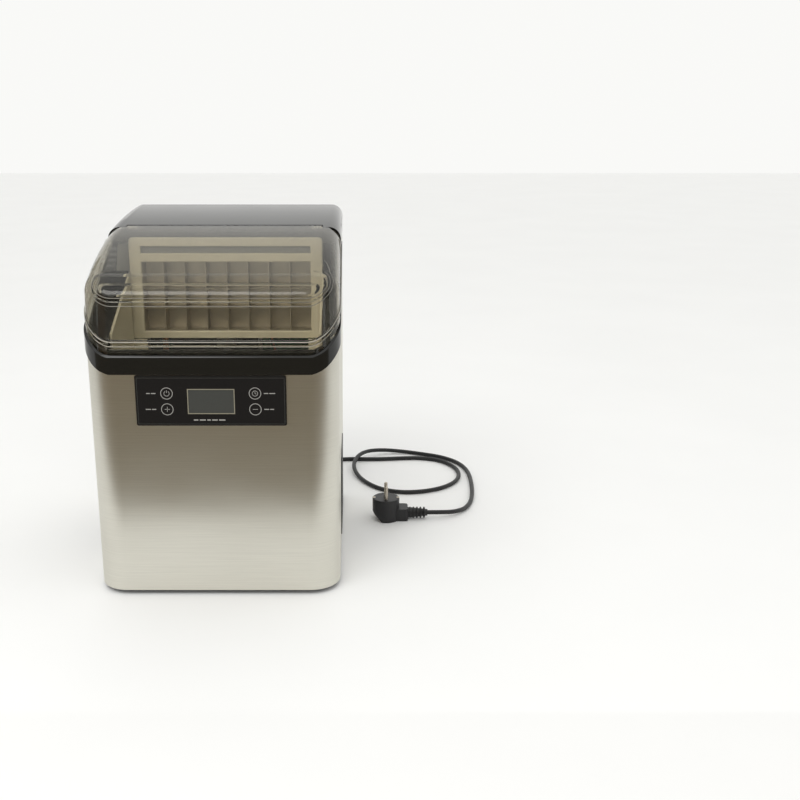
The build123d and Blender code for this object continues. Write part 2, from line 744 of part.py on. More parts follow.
column_pitch = 2 * GRID_HALF / GRID_COLUMNS
row_pitch = (GRID_TOP - GRID_BOTTOM) / GRID_ROWS
with BuildPart() as evaporator_grid:
    with BuildSketch(facing(FRAME_BACK + 0.3)):
        with Locations((0, (GRID_BOTTOM + GRID_TOP) / 2)):
            Rectangle(2 * GRID_HALF + CELL_WALL, GRID_TOP - GRID_BOTTOM + CELL_WALL)
    extrude(amount=-GRID_DEPTH)
    with BuildSketch(facing(FRAME_BACK)):
        with Locations((0, (GRID_BOTTOM + GRID_TOP) / 2)):
            with GridLocations(column_pitch, row_pitch, GRID_COLUMNS, GRID_ROWS):
                Rectangle(column_pitch - CELL_WALL, row_pitch - CELL_WALL)
    extrude(amount=-(GRID_DEPTH - 1.5), mode=Mode.SUBTRACT)
evaporator_grid.part.label = "evaporator_grid"
export_step(evaporator_grid.part, "parts/evaporator_grid.step")

COIL_RADIUS = 4.0
COIL_Y = FRAME_BACK + 0.3 + GRID_DEPTH + COIL_RADIUS
COIL_ROWS = 4
coil_pitch = 22.0
coil_points = []
for row in range(COIL_ROWS):
    z = GRID_BOTTOM + 11 + row * coil_pitch
    ends = (-96, 96) if row % 2 == 0 else (96, -96)
    coil_points += [(ends[0], COIL_Y, z), (ends[1], COIL_Y, z)]
coil_points = [(-96, COIL_Y + 24, coil_points[0][2])] + coil_points + [
    (-96, COIL_Y + 24, coil_points[-1][2])
]
evaporator_coil = Part() + pipe(coil_points, 9.5, COIL_RADIUS)
evaporator_coil.label = "evaporator_coil"
export_step(evaporator_coil, "parts/evaporator_coil.step")

with BuildPart() as water_distributor:
    add(box_between((-GRID_HALF - 1, FRAME_BACK + 1.5, 382), (GRID_HALF + 1, FRAME_BACK + 14, 397)))
    with BuildSketch(Plane.XY.offset(382)):
        with Locations((0, FRAME_BACK + 8)):
            with GridLocations(column_pitch, 0, GRID_COLUMNS, 1):
                Circle(3.0)
    extrude(amount=-5)
    with BuildSketch(Plane.XY.offset(370)):
        with Locations((0, FRAME_BACK + 8)):
            with GridLocations(column_pitch, 0, GRID_COLUMNS, 1):
                Circle(1.5)
    extrude(amount=20, mode=Mode.SUBTRACT)
    with BuildSketch(across(-GRID_HALF - 1)):
        with Locations((FRAME_BACK + 8, 389)):
            Circle(4.2)
    extrude(amount=-4)
water_distributor.part.label = "water_distributor"
export_step(water_distributor.part, "parts/water_distributor.step")

# ---------------------------------------------------------------- water pump
PUMP_X, PUMP_Y = PUMP_CENTRE
PUMP_FLOOR = BASE_FLOOR
with BuildPart() as pump_body:
    with Locations((PUMP_X, PUMP_Y, PUMP_FLOOR)):
        Cylinder(18, 48, align=(Align.CENTER, Align.CENTER, Align.MIN))
    with BuildSketch(facing(PUMP_Y)):
        with Locations((PUMP_X, 22)):
            Circle(5.5)
    extrude(amount=PUMP_Y - TANK_BACK)
    with BuildSketch(facing(PUMP_Y)):
        with Locations((PUMP_X, 22)):
            Circle(3.5)
    extrude(amount=PUMP_Y - TANK_BACK, mode=Mode.SUBTRACT)
    with Locations((PUMP_X, PUMP_Y, PUMP_FLOOR + 6)):
        Cylinder(14, 12, align=(Align.CENTER, Align.CENTER, Align.MIN), mode=Mode.SUBTRACT)
        Cylinder(1.55, 22, align=(Align.CENTER, Align.CENTER, Align.MIN), mode=Mode.SUBTRACT)
    with Locations((PUMP_X, PUMP_Y, PUMP_FLOOR + 48)):
        Cylinder(4.2, 8, align=(Align.CENTER, Align.CENTER, Align.MIN))
pump_body.part.label = "pump_body"
export_step(pump_body.part, "parts/pump_body.step")

with BuildPart() as pump_impeller:
    with Locations((PUMP_X, PUMP_Y, PUMP_FLOOR + 8)):
        Cylinder(5, 8, align=(Align.CENTER, Align.CENTER, Align.MIN))
        Cylinder(1.5, 18, align=(Align.CENTER, Align.CENTER, Align.MIN))
    with Locations((PUMP_X, PUMP_Y, PUMP_FLOOR + 8)):
        with PolarLocations(8.5, 6):
            Box(8, 1.4, 7, align=(Align.CENTER, Align.CENTER, Align.MIN))
pump_impeller.part.label = "pump_impeller"
export_step(pump_impeller.part, "parts/pump_impeller.step")

HOSE_RADIUS = 4.2
hose_points = [
    (PUMP_X, PUMP_Y, PUMP_FLOOR + 56),
    (PUMP_X, PUMP_Y, 84),
    (-117, 12, 96),
    (-117, 12, 240),
    (-118.5, FRAME_BACK + 8, 389),
    (-GRID_HALF - 5, FRAME_BACK + 8, 389),
]
pump_hose = Part() + pipe(hose_points, [8, 12, 60, 5], HOSE_RADIUS)
pump_hose.label = "pump_hose"
export_step(pump_hose, "parts/pump_hose.step")

# ---------------------------------------------------------------- ice basket and scoop
BASKET_TOP = BASKET_BOTTOM + BASKET_HEIGHT
basket_mid_y = (BASKET_FRONT + BASKET_BACK) / 2
basket_half_y = (BASKET_BACK - BASKET_FRONT) / 2
EAR_WIDTH, EAR_HEIGHT = 46.0, 37.0
SLOT_COUNT = 15
SLOT_HEIGHT = 36.0


def basket_prism(inset, low, high):
    """Tapered tub: the foot is 3.5 mm narrower each side than the mouth."""
    with BuildPart() as prism:
        for z, narrow in ((low, 3.5), (high, 0.0)):
            with BuildSketch(Plane.XY.offset(z)):
                with Locations((0, basket_mid_y)):
                    RectangleRounded(
                        2 * (BASKET_HALF_X - inset - narrow),
                        2 * (basket_half_y - inset - narrow),
                        10 - inset,
                    )
        loft(ruled=True)
    return prism.part


with BuildPart() as ice_basket:
    add(basket_prism(0, BASKET_BOTTOM, BASKET_TOP))
    with BuildSketch(Plane.XY.offset(BASKET_TOP - 3)):
        with Locations((0, basket_mid_y)):
            RectangleRounded(2 * BASKET_HALF_X + 5, 2 * basket_half_y + 2, 11)
    extrude(amount=3)
    for side in (-1, 1):
        with BuildSketch(across(side * (BASKET_HALF_X - 1))):
            with Locations((basket_mid_y, BASKET_TOP - 6)):
                Rectangle(EAR_WIDTH, EAR_HEIGHT + 6, align=(Align.CENTER, Align.MIN))
        extrude(amount=side * 3.0)
    ear_tops = ice_basket.edges().filter_by(Axis.X).group_by(Axis.Z)[-1]
    fillet(ear_tops, 14)
    add(
        basket_prism(BASKET_WALL, BASKET_BOTTOM + BASKET_WALL, BASKET_TOP + 0.5),
        mode=Mode.SUBTRACT,
    )
    with BuildSketch(across(-BASKET_HALF_X - 20)):
        with Locations((basket_mid_y, BASKET_TOP + EAR_HEIGHT / 2 + 1)):
            SlotOverall(30, 20)
    extrude(amount=2 * BASKET_HALF_X + 40, mode=Mode.SUBTRACT)
    with BuildSketch(facing(BASKET_BACK + 20)):
        with Locations((0, BASKET_BOTTOM + 3.5 + SLOT_HEIGHT / 2)):
            with GridLocations(13.6, 0, SLOT_COUNT, 1):
                SlotOverall(SLOT_HEIGHT, 7, rotation=90)
    extrude(amount=200, mode=Mode.SUBTRACT)
    with BuildSketch(Plane.XY.offset(BASKET_BOTTOM - 1)):
        with Locations((0, basket_mid_y)):
            with GridLocations(18, 22, 11, 4):
                SlotOverall(14, 6, rotation=90)
    extrude(amount=4, mode=Mode.SUBTRACT)
ice_basket.part.label = "ice_basket"
export_step(ice_basket.part, "parts/ice_basket.step")
print("basket", len(ice_basket.solids()), ice_basket.part.bounding_box())

SCOOP_FLOOR = BASKET_BOTTOM + BASKET_WALL + 0.3
SCOOP_Y = basket_mid_y
SCOOP_OPEN_X, SCOOP_BACK_X, SCOOP_HANDLE_X = -78.0, 2.0, 84.0


def scoop_section(x, inset):
    with BuildSketch(across(x)) as section:
        with BuildLine():
            Polyline(
                (SCOOP_Y - 40 + inset, SCOOP_FLOOR + 46 + (10 if inset else 0)),
                (SCOOP_Y - 40 + inset, SCOOP_FLOOR + 16),
                (SCOOP_Y - 28 + inset / 2, SCOOP_FLOOR + inset),
                (SCOOP_Y + 28 - inset / 2, SCOOP_FLOOR + inset),
                (SCOOP_Y + 40 - inset, SCOOP_FLOOR + 16),
                (SCOOP_Y + 40 - inset, SCOOP_FLOOR + 46 + (10 if inset else 0)),
                close=True,
            )
        make_face()
        fillet(section.vertices().group_by(Axis.Z)[0], 12 - inset)
    return section.sketch


with BuildPart() as ice_scoop:
    extrude(scoop_section(SCOOP_OPEN_X, 0), amount=SCOOP_BACK_X - SCOOP_OPEN_X)
    extrude(
        scoop_section(SCOOP_OPEN_X - 5, 2.0),
        amount=SCOOP_BACK_X - SCOOP_OPEN_X + 3,
        mode=Mode.SUBTRACT,
    )
    with BuildSketch(facing(SCOOP_Y + 60)):
        with BuildLine():
            Polyline(
                (SCOOP_OPEN_X - 10, SCOOP_FLOOR + 4),
                (SCOOP_OPEN_X + 2, SCOOP_FLOOR + 12),
                (SCOOP_OPEN_X + 34, SCOOP_FLOOR + 48),
                (SCOOP_OPEN_X - 10, SCOOP_FLOOR + 60),
                close=True,
            )
        make_face()
    extrude(amount=120, mode=Mode.SUBTRACT)
    with BuildSketch(Plane.XY.offset(SCOOP_FLOOR + 40)):
        with Locations(((SCOOP_BACK_X + SCOOP_HANDLE_X) / 2 - 1, SCOOP_Y)):
            RectangleRounded(SCOOP_HANDLE_X - SCOOP_BACK_X + 2, 24, 11.5)
        with Locations((SCOOP_HANDLE_X - 14, SCOOP_Y)):
            Circle(5, mode=Mode.SUBTRACT)
    extrude(amount=4)
ice_scoop.part.label = "ice_scoop"
export_step(ice_scoop.part, "parts/ice_scoop.step")
print("scoop", len(ice_scoop.solids()), ice_scoop.part.bounding_box())

# ---------------------------------------------------------------- compressor
COMP_X, COMP_Y = COMPRESSOR_CENTRE
COMP_BASE = BASE_FLOOR + 14.0
GROMMET_PLACES = [(COMP_X + dx, COMP_Y + dy) for dx in (-40, 40) for dy in (-42, 42)]

with BuildPart() as compressor:
    with Locations((COMP_X, COMP_Y, COMP_BASE + 3)):
        Cylinder(46, 112, align=(Align.CENTER, Align.CENTER, Align.MIN))
    fillet(compressor.edges().filter_by(GeomType.CIRCLE).sort_by(Axis.Z)[-1], 26)
    fillet(compressor.edges().filter_by(GeomType.CIRCLE).sort_by(Axis.Z)[0], 14)
    with Locations((COMP_X, COMP_Y, COMP_BASE + 60)):
        Cylinder(48.5, 5)
    with BuildSketch(Plane.XY.offset(COMP_BASE)):
        with Locations((COMP_X, COMP_Y)):
            RectangleRounded(96, 100, 10)
        with Locations(GROMMET_PLACES):
            Circle(5.2, mode=Mode.SUBTRACT)
    extrude(amount=3)
    with Locations((COMP_X + 49, COMP_Y - 10, COMP_BASE + 40)):
        Box(10, 34, 26)
    for stub_x, stub_y in ((22, -20), (-20, 10)):
        with Locations((COMP_X + stub_x, COMP_Y + stub_y, COMP_BASE + 100)):
            Cylinder(5, 22, align=(Align.CENTER, Align.CENTER, Align.MIN))
compressor.part.label = "compressor"
export_step(compressor.part, "parts/compressor.step")

with BuildPart() as compressor_grommets:
    with Locations([(x, y, BASE_FLOOR) for x, y in GROMMET_PLACES]):
        Cylinder(8, 14, align=(Align.CENTER, Align.CENTER, Align.MIN))
        Cylinder(5.1, 18, align=(Align.CENTER, Align.CENTER, Align.MIN))
    with Locations([(x, y, COMP_BASE + 3) for x, y in GROMMET_PLACES]):
        Cylinder(7, 3, align=(Align.CENTER, Align.CENTER, Align.MIN))
compressor_grommets.part.label = "compressor_grommets"
export_step(compressor_grommets.part, "parts/compressor_grommets.step")

# ---------------------------------------------------------------- condenser and fan
FAN_X, FAN_Y, FAN_Z = FAN_CENTRE
CONDENSER_X = (92.0, 114.0)
CONDENSER_Y = (FAN_Y - 40, FAN_Y + 40)
CONDENSER_Z = (BASE_FLOOR, 101.0)
FIN_COUNT = 21
TUBE_RADIUS = 3.5
fin_mid = (sum(CONDENSER_X) / 2, FAN_Y, sum(CONDENSER_Z) / 2)

with BuildPart() as condenser:
    with Locations(fin_mid):
        with GridLocations(0, (CONDENSER_Y[1] - CONDENSER_Y[0]) / (FIN_COUNT - 1), 1, FIN_COUNT):
            Box(CONDENSER_X[1] - CONDENSER_X[0], 0.6, CONDENSER_Z[1] - CONDENSER_Z[0])
    for z in (22, 38, 54, 70, 86):
        for x in (97.5, 108.5):
            with BuildSketch(facing(CONDENSER_Y[1] + 5)):
                with Locations((x, z)):
                    Circle(TUBE_RADIUS)
            extrude(amount=CONDENSER_Y[1] - CONDENSER_Y[0] + 10)
    for z in (22, 38, 54, 70, 86):
        with BuildSketch(facing(CONDENSER_Y[0] - 3)):
            with Locations((103, z)):
                SlotCenterToCenter(11, 2 * TUBE_RADIUS)
        extrude(amount=4)
    for z in (30, 62):
        with BuildSketch(facing(CONDENSER_Y[1] + 5)):
            with Locations((97.5, z)):
                SlotCenterToCenter(16, 2 * TUBE_RADIUS, rotation=90)
        extrude(amount=4)
    for z in (46, 78):
        with BuildSketch(facing(CONDENSER_Y[1] + 5)):
            with Locations((108.5, z)):
                SlotCenterToCenter(16, 2 * TUBE_RADIUS, rotation=90)
        extrude(amount=4)
condenser.part.label = "condenser"
export_step(condenser.part, "parts/condenser.step")
print("condenser", len(condenser.solids()))

FAN_FRAME_X = (119.0, 137.0)
FAN_HALF = 41.0
FAN_BORE = 39.0
FAN_SHAFT = 1.5
with BuildPart() as fan_frame:
    with BuildSketch(across(FAN_FRAME_X[0])):
        with Locations((FAN_Y, FAN_Z)):
            RectangleRounded(2 * FAN_HALF, 2 * FAN_HALF, 5)
        with Locations((FAN_Y, (BASE_FLOOR + FAN_Z - 30) / 2)):
            Rectangle(2 * FAN_HALF, FAN_Z - 30 - BASE_FLOOR)
        with Locations((FAN_Y, FAN_Z)):
            Circle(FAN_BORE, mode=Mode.SUBTRACT)
    extrude(amount=FAN_FRAME_X[1] - FAN_FRAME_X[0])
    with BuildSketch(across(FAN_FRAME_X[1] - 3)):
        with Locations((FAN_Y, FAN_Z)):
            with PolarLocations(0, 4):
                Rectangle(FAN_BORE + 1, 3, align=(Align.MIN, Align.CENTER))
    extrude(amount=3)
fan_frame.part.label = "fan_frame"
export_step(fan_frame.part, "parts/fan_frame.step")

with BuildPart() as fan_motor:
    with BuildSketch(across(FAN_FRAME_X[1] - 3)):
        with Locations((FAN_Y, FAN_Z)):
            Circle(14)
            Circle(FAN_SHAFT + 0.05, mode=Mode.SUBTRACT)
    extrude(amount=-5)
fan_motor.part.label = "fan_motor"
export_step(fan_motor.part, "parts/fan_motor.step")

FAN_BLADES = 7
BLADE_ROOT, BLADE_TIP = 12.0, 37.0


def fan_blade(angle):
    """One twisted blade between two radial sections."""
    turn = math.radians(angle)
    radial = Vector(0, math.cos(turn), math.sin(turn))
    around = Vector(0, -math.sin(turn), math.cos(turn))
    hub = Vector(FAN_FRAME_X[0] + 5.3, FAN_Y, FAN_Z)
    with BuildPart() as blade:
        for distance, pitch, chord in ((BLADE_ROOT, 40, 11), (BLADE_TIP, 24, 20)):
            lean = math.radians(pitch)
            along = around * math.cos(lean) + Vector(1, 0, 0) * math.sin(lean)
            with BuildSketch(Plane(origin=hub + radial * distance, x_dir=along, z_dir=radial)):
                RectangleRounded(chord, 1.6, 0.7)
        loft(ruled=True)
    return blade.part


with BuildPart() as fan_blades:
    with BuildSketch(across(FAN_FRAME_X[0] + 1)):
        with Locations((FAN_Y, FAN_Z)):
            Circle(14)
    extrude(amount=8.5)
    with BuildSketch(across(FAN_FRAME_X[0] + 9)):
        with Locations((FAN_Y, FAN_Z)):
            Circle(FAN_SHAFT)
    extrude(amount=5.5)
    for number in range(FAN_BLADES):
        add(fan_blade(number * 360 / FAN_BLADES))
fan_blades.part.label = "fan_blades"
export_step(fan_blades.part, "parts/fan_blades.step")
print("fan blades", len(fan_blades.solids()), fan_blades.part.bounding_box())

# ---------------------------------------------------------------- refrigerant line
LINE_RADIUS = 3.0
comp_top_z = COMP_BASE + 122
discharge_points = [
    (COMP_X + 22, COMP_Y - 20, comp_top_z),
    (COMP_X + 22, COMP_Y - 20, 168),
    (20, 66, 168),
    (97.5, 66, 150),
    (97.5, 66, 86),
    (97.5, CONDENSER_Y[1] + 5, 86),
]
discharge_pipe = Part() + pipe(discharge_points, 7.5, LINE_RADIUS)
discharge_pipe.label = "discharge_pipe"
export_step(discharge_pipe, "parts/discharge_pipe.step")

coil_end_y = COIL_Y + 24
suction_points = [
    (-96, coil_end_y, coil_points[0][2]),
    (-96, coil_end_y + 22, coil_points[0][2]),
    (-96, coil_end_y + 22, 190),
    (COMP_X - 20, COMP_Y + 10, 180),
    (COMP_X - 20, COMP_Y + 10, comp_top_z),
]
suction_pipe = Part() + pipe(suction_points, 9, LINE_RADIUS + 1)
suction_pipe.label = "suction_pipe"
export_step(suction_pipe, "parts/suction_pipe.step")

DRIER_X, DRIER_Y = 62.0, 92.0
with BuildPart() as filter_drier:
    with BuildSketch(Plane(origin=(DRIER_X, DRIER_Y, 0), x_dir=(1, 0, 0), z_dir=(0, -1, 0))):
        with BuildLine():
            Polyline(
                (0, 40), (2.5, 40), (2.5, 48), (10, 58), (10, 118), (2.5, 128),
                (2.5, 136), (0, 136), close=True,
            )
        make_face()
    revolve(axis=Axis((DRIER_X, DRIER_Y, 0), (0, 0, 1)))
filter_drier.part.label = "filter_drier"
export_step(filter_drier.part, "parts/filter_drier.step")

liquid_points = [
    (97.5, CONDENSER_Y[1] + 5, 22),
    (97.5, 80, 22),
    (DRIER_X, DRIER_Y, 22),
    (DRIER_X, DRIER_Y, 40),
]
liquid_pipe = Part() + pipe(liquid_points, 7, 2.5)
liquid_pipe.label = "liquid_pipe"
export_step(liquid_pipe, "parts/liquid_pipe.step")

capillary_points = [
    (DRIER_X, DRIER_Y, 136),
    (DRIER_X, DRIER_Y, 200),
    (40, 70, 300),
    (-60, 64, coil_points[-1][2] + 12),
    (-96, coil_end_y + 16, coil_points[-1][2]),
    (-96, coil_end_y, coil_points[-1][2]),
]
capillary_pipe = Part() + pipe(capillary_points, 6, 1.5)
capillary_pipe.label = "capillary_pipe"
export_step(capillary_pipe, "parts/capillary_pipe.step")

with BuildPart() as hot_gas_valve:
    with Locations((20, 66, 182)):
        Cylinder(6, 22)
    with Locations((20, 66, 205)):
        Box(30, 26, 30)
    with Locations((20, 66, 224)):
        Cylinder(5, 8)
hot_gas_valve.part.label = "hot_gas_valve"
export_step(hot_gas_valve.part, "parts/hot_gas_valve.step")

# ---------------------------------------------------------------- power board
BOARD_X, BOARD_Z = (30.0, 120.0), (190.0, 300.0)
BRACKET_Y = 150.0
board_centre = (sum(BOARD_X) / 2, sum(BOARD_Z) / 2)
with BuildPart() as board_bracket:
    with BuildSketch(facing(BRACKET_Y + 2)):
        with Locations(board_centre):
            RectangleRounded(BOARD_X[1] - BOARD_X[0] + 14, BOARD_Z[1] - BOARD_Z[0] + 14, 5)
    extrude(amount=2)
    with BuildSketch(facing(PANEL_FRONT_Y)):
        with Locations(board_centre):
            with GridLocations(94, 114, 2, 2):
                Circle(3.5)
    extrude(amount=PANEL_FRONT_Y - BRACKET_Y)
    with BuildSketch(facing(BRACKET_Y + 1)):
        with Locations(board_centre):
            with GridLocations(80, 100, 2, 2):
                Circle(3)
    extrude(amount=7)
board_bracket.part.label = "board_bracket"
export_step(board_bracket.part, "parts/board_bracket.step")

with BuildPart() as power_board:
    with BuildSketch(facing(BRACKET_Y - 6)):
        with Locations(board_centre):
            Rectangle(BOARD_X[1] - BOARD_X[0], BOARD_Z[1] - BOARD_Z[0])
    extrude(amount=1.6)
    with BuildSketch(facing(BRACKET_Y - 7)):
        with Locations((54, 262)):
            Rectangle(32, 36)
    extrude(amount=26)
    with BuildSketch(facing(BRACKET_Y - 7)):
        with Locations((96, 280), (96, 252), (96, 224)):
            Rectangle(18, 18)
    extrude(amount=16)
    with BuildSketch(facing(BRACKET_Y - 7)):
        with Locations((50, 222), (68, 208)):
            Circle(7)
    extrude(amount=22)
power_board.part.label = "power_board"
export_step(power_board.part, "parts/power_board.step")

# ---------------------------------------------------------------- water inlet and drain
SPIGOT_RADIUS = 3.175
REAR_LIMIT = -FRONT + BAND_PROUD
with BuildPart() as inlet_valve:
    with BuildSketch(facing(PANEL_BACK_Y)):
        with Locations((INLET_X, INLET_Z)):
            Circle(11)
    extrude(amount=-2.5)
    with BuildSketch(facing(PANEL_BACK_Y)):
        with Locations((INLET_X, INLET_Z)):
            Circle(8)
    extrude(amount=14)
    with BuildSketch(facing(REAR_LIMIT)):
        with Locations((INLET_X, INLET_Z)):
            Circle(SPIGOT_RADIUS)
    extrude(amount=REAR_LIMIT - PANEL_BACK_Y)
    with Locations((INLET_X, PANEL_FRONT_Y - 22, INLET_Z)):
        Box(26, 24, 30)
    with Locations((INLET_X, PANEL_FRONT_Y - 22, INLET_Z - 20)):
        Cylinder(5, 14)
inlet_valve.part.label = "inlet_valve"
export_step(inlet_valve.part, "parts/inlet_valve.step")

inlet_points = [
    (INLET_X, PANEL_FRONT_Y - 22, INLET_Z - 27),
    (INLET_X, PANEL_FRONT_Y - 22, 192),
    (INLET_X, LINER_BACK + 0.2, 192),
]
inlet_hose = Part() + pipe(inlet_points, 20, 4.0)
inlet_hose.label = "inlet_hose"
export_step(inlet_hose, "parts/inlet_hose.step")

DRAIN_BORE = 5.0
with BuildPart() as drain_spout:
    with BuildSketch(facing(PANEL_BACK_Y)):
        with Locations((DRAIN_X, DRAIN_Z)):
            Circle(13)
    extrude(amount=-2.5)
    with BuildSketch(facing(BACK + 9)):
        with Locations((DRAIN_X, DRAIN_Z)):
            Circle(9)
    extrude(amount=22)
    with BuildSketch(facing(BACK + 9)):
        with Locations((DRAIN_X, DRAIN_Z)):
            Circle(DRAIN_BORE)
    extrude(amount=22, mode=Mode.SUBTRACT)
drain_spout.part.label = "drain_spout"
export_step(drain_spout.part, "parts/drain_spout.step")

with BuildPart() as drain_plug:
    with BuildSketch(facing(REAR_LIMIT - 1)):
        with Locations((DRAIN_X, DRAIN_Z)):
            Circle(11)
    extrude(amount=REAR_LIMIT - 1 - BACK - 9.3)
    with BuildSketch(facing(BACK + 10)):
        with Locations((DRAIN_X, DRAIN_Z)):
            Circle(DRAIN_BORE - 0.05)
    extrude(amount=11)
    with BuildSketch(facing(REAR_LIMIT)):
        with Locations((DRAIN_X, DRAIN_Z)):
            Rectangle(16, 3)
    extrude(amount=2)
drain_plug.part.label = "drain_plug"
export_step(drain_plug.part, "parts/drain_plug.step")

drain_points = [
    (DRAIN_X, TANK_BACK + 0.2, 18),
    (DRAIN_X, TANK_BACK + 24, 18),
    (DRAIN_X, 100, 18.5),
    (DRAIN_X, 118, DRAIN_Z),
    (DRAIN_X, BACK - 13, DRAIN_Z),
]
drain_hose = Part() + pipe(drain_points, [150, 12, 12], 6.0, 4.0)
drain_hose.label = "drain_hose"
export_step(drain_hose, "parts/drain_hose.step")

# ---------------------------------------------------------------- rear screws
with BuildPart() as rear_screws:
    with BuildSketch(facing(BACK)):
        with Locations(SCREW_PLACES):
            Circle(1.5)
    extrude(amount=9)
    with BuildSketch(facing(BACK)):
        with Locations(SCREW_PLACES):
            Circle(3.2)
    extrude(amount=-2)
    chamfer(rear_screws.edges().filter_by(GeomType.CIRCLE).group_by(Axis.Y)[-1], 0.6)
rear_screws.part.label = "rear_screws"
export_step(rear_screws.part, "parts/rear_screws.step")

# ---------------------------------------------------------------- mains cord
with BuildPart() as cord_gland:
    with BuildSketch(Plane(origin=(GLAND_X, 0, GLAND_Z), x_dir=(0, 1, 0), z_dir=(1, 0, 0))):
        with BuildLine():
            Polyline(
                (PANEL_FRONT_Y - 4, 0), (PANEL_FRONT_Y - 4, 8), (PANEL_FRONT_Y, 8),
                (PANEL_FRONT_Y, 6.5), (PANEL_BACK_Y, 6.5), (PANEL_BACK_Y, 9), (BACK + 1, 9),
                (BACK + 2, 6), (GLAND_END, 4.4), (GLAND_END, 0), close=True,
            )
        make_face()
    revolve(axis=Axis((GLAND_X, 0, GLAND_Z), (0, 1, 0)))
cord_gland.part.label = "cord_gland"
export_step(cord_gland.part, "parts/cord_gland.step")

# control points of the free cord, from the gland round two loops to the plug
CORD_REST = CORD_RADIUS
CORD_OVER = 16.0
CORD_ROUTE = [
    (GLAND_X, GLAND_END, GLAND_Z),
    (GLAND_X, 213, GLAND_Z),
    (93, 238, 34),
    (96, 262, 15),
    (105, 285, 4.5),
    (123, 303, CORD_REST),
    (152, 310, CORD_REST),
    (183, 308, CORD_REST),
    (214, 309, CORD_REST),
    (246, 314, CORD_REST),
    (276, 314, CORD_REST),
    (304, 302, CORD_REST),
    (324, 274, CORD_REST),
    (330, 240, CORD_REST),
    (322, 204, CORD_REST),
    (300, 176, CORD_REST),
    (268, 159, CORD_REST),
    (234, 155, CORD_REST),
    (203, 168, CORD_REST),
    (181, 196, CORD_REST),
    (166, 230, 4.5),
    (160, 266, 9.5),
    (166, 299, CORD_OVER),
    (182, 327, CORD_OVER),
    (210, 345, 9.5),
    (244, 346, 4.5),
    (276, 335, CORD_REST),
    (307, 320, CORD_REST),
    (332, 293, CORD_REST),
    (343, 258, CORD_REST),
    (345, 220, CORD_REST),
    (343, 182, CORD_REST),
    (340, 149, CORD_REST),
    (334, 116, CORD_REST),
    (323, 89, 3.8),
    (306, 70, 6.5),
    (286, 62, 9),
    (266, 62, 9),
]


def cord_radii(points):
    """Each bend is as large as its two runs allow."""
    radii = []
    for before, here, after in zip(points, points[1:], points[2:]):
        run_in = Vector(*here) - Vector(*before)
        run_out = Vector(*after) - Vector(*here)
        turn = math.radians(run_in.get_angle(run_out))
        radii.append(0.45 * min(run_in.length, run_out.length) / math.tan(turn / 2))
    return radii


bend_radii = cord_radii(CORD_ROUTE)
power_cord = Part() + pipe(CORD_ROUTE, bend_radii, CORD_RADIUS)
power_cord.label = "power_cord"
export_step(power_cord, "parts/power_cord.step")
print("cord bend radii", [round(radius) for radius in bend_radii])
runs = [(Vector(*b) - Vector(*a)).length for a, b in zip(CORD_ROUTE, CORD_ROUTE[1:])]
print("cord runs", [round(run) for run in runs])
print("cord length", power_cord.volume / (math.pi * CORD_RADIUS**2))

PLUG_X, PLUG_Y = 207.0, 62.0
PLUG_RADIUS = 19.0
PLUG_HEIGHT = 32.0
PLUG_BASE = 18.0
PLUG_REACH = 31.0
PIN_SPACING = 19.0
with BuildPart() as plug_body:
    with BuildSketch(Plane.XY):
        with Locations((PLUG_X, PLUG_Y)):
            Circle(PLUG_RADIUS)
    extrude(amount=PLUG_HEIGHT)
    fillet(plug_body.edges().group_by(Axis.Z)[-1], 1.5)
    # lower body that carries the cord's neck
    with BuildSketch(Plane.XY):
        with Locations((PLUG_X + PLUG_REACH / 2, PLUG_Y)):
            Rectangle(PLUG_REACH, 24)
    extrude(amount=PLUG_BASE)
    fillet(plug_body.edges().filter_by(Axis.Z).group_by(Axis.X)[-1], 4)
    # the heel opposite the neck is cut away
    with BuildSketch(facing(PLUG_Y)):
        with BuildLine():
            Polyline((PLUG_X - 25, 16), (PLUG_X - 19, 13), (PLUG_X - 6, 0), (PLUG_X - 25, -5), close=True)
        make_face()
    extrude(amount=30, both=True, mode=Mode.SUBTRACT)
    with BuildSketch(
        Plane(origin=(PLUG_X + PLUG_REACH - 2, PLUG_Y, 9), x_dir=(0, 1, 0), z_dir=(1, 0, 0))
    ):
        Circle(8)
    with BuildSketch(Plane(origin=(CORD_ROUTE[-1][0], PLUG_Y, 9), x_dir=(0, 1, 0), z_dir=(1, 0, 0))):
        Circle(4.6)
    loft()
    with BuildSketch(Plane.XY.offset(PLUG_HEIGHT - 1)):
        with Locations((PLUG_X, PLUG_Y)):
            with GridLocations(0, PIN_SPACING, 1, 2):
                Circle(2.4)
    extrude(amount=2, mode=Mode.SUBTRACT)
plug_body.part.label = "plug_body"
export_step(plug_body.part, "parts/plug_body.step")

with BuildPart() as plug_pins:
    with BuildSketch(Plane.XY.offset(PLUG_HEIGHT - 1)):
        with Locations((PLUG_X, PLUG_Y)):
            with GridLocations(0, PIN_SPACING, 1, 2):
                Circle(2.4)
    extrude(amount=20)
    fillet(plug_pins.edges().filter_by(GeomType.CIRCLE).group_by(Axis.Z)[-1], 1.6)
plug_pins.part.label = "plug_pins"
export_step(plug_pins.part, "parts/plug_pins.step")
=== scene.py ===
import json
import math

import bmesh
import bpy
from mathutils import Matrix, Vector
from mathutils.bvhtree import BVHTree


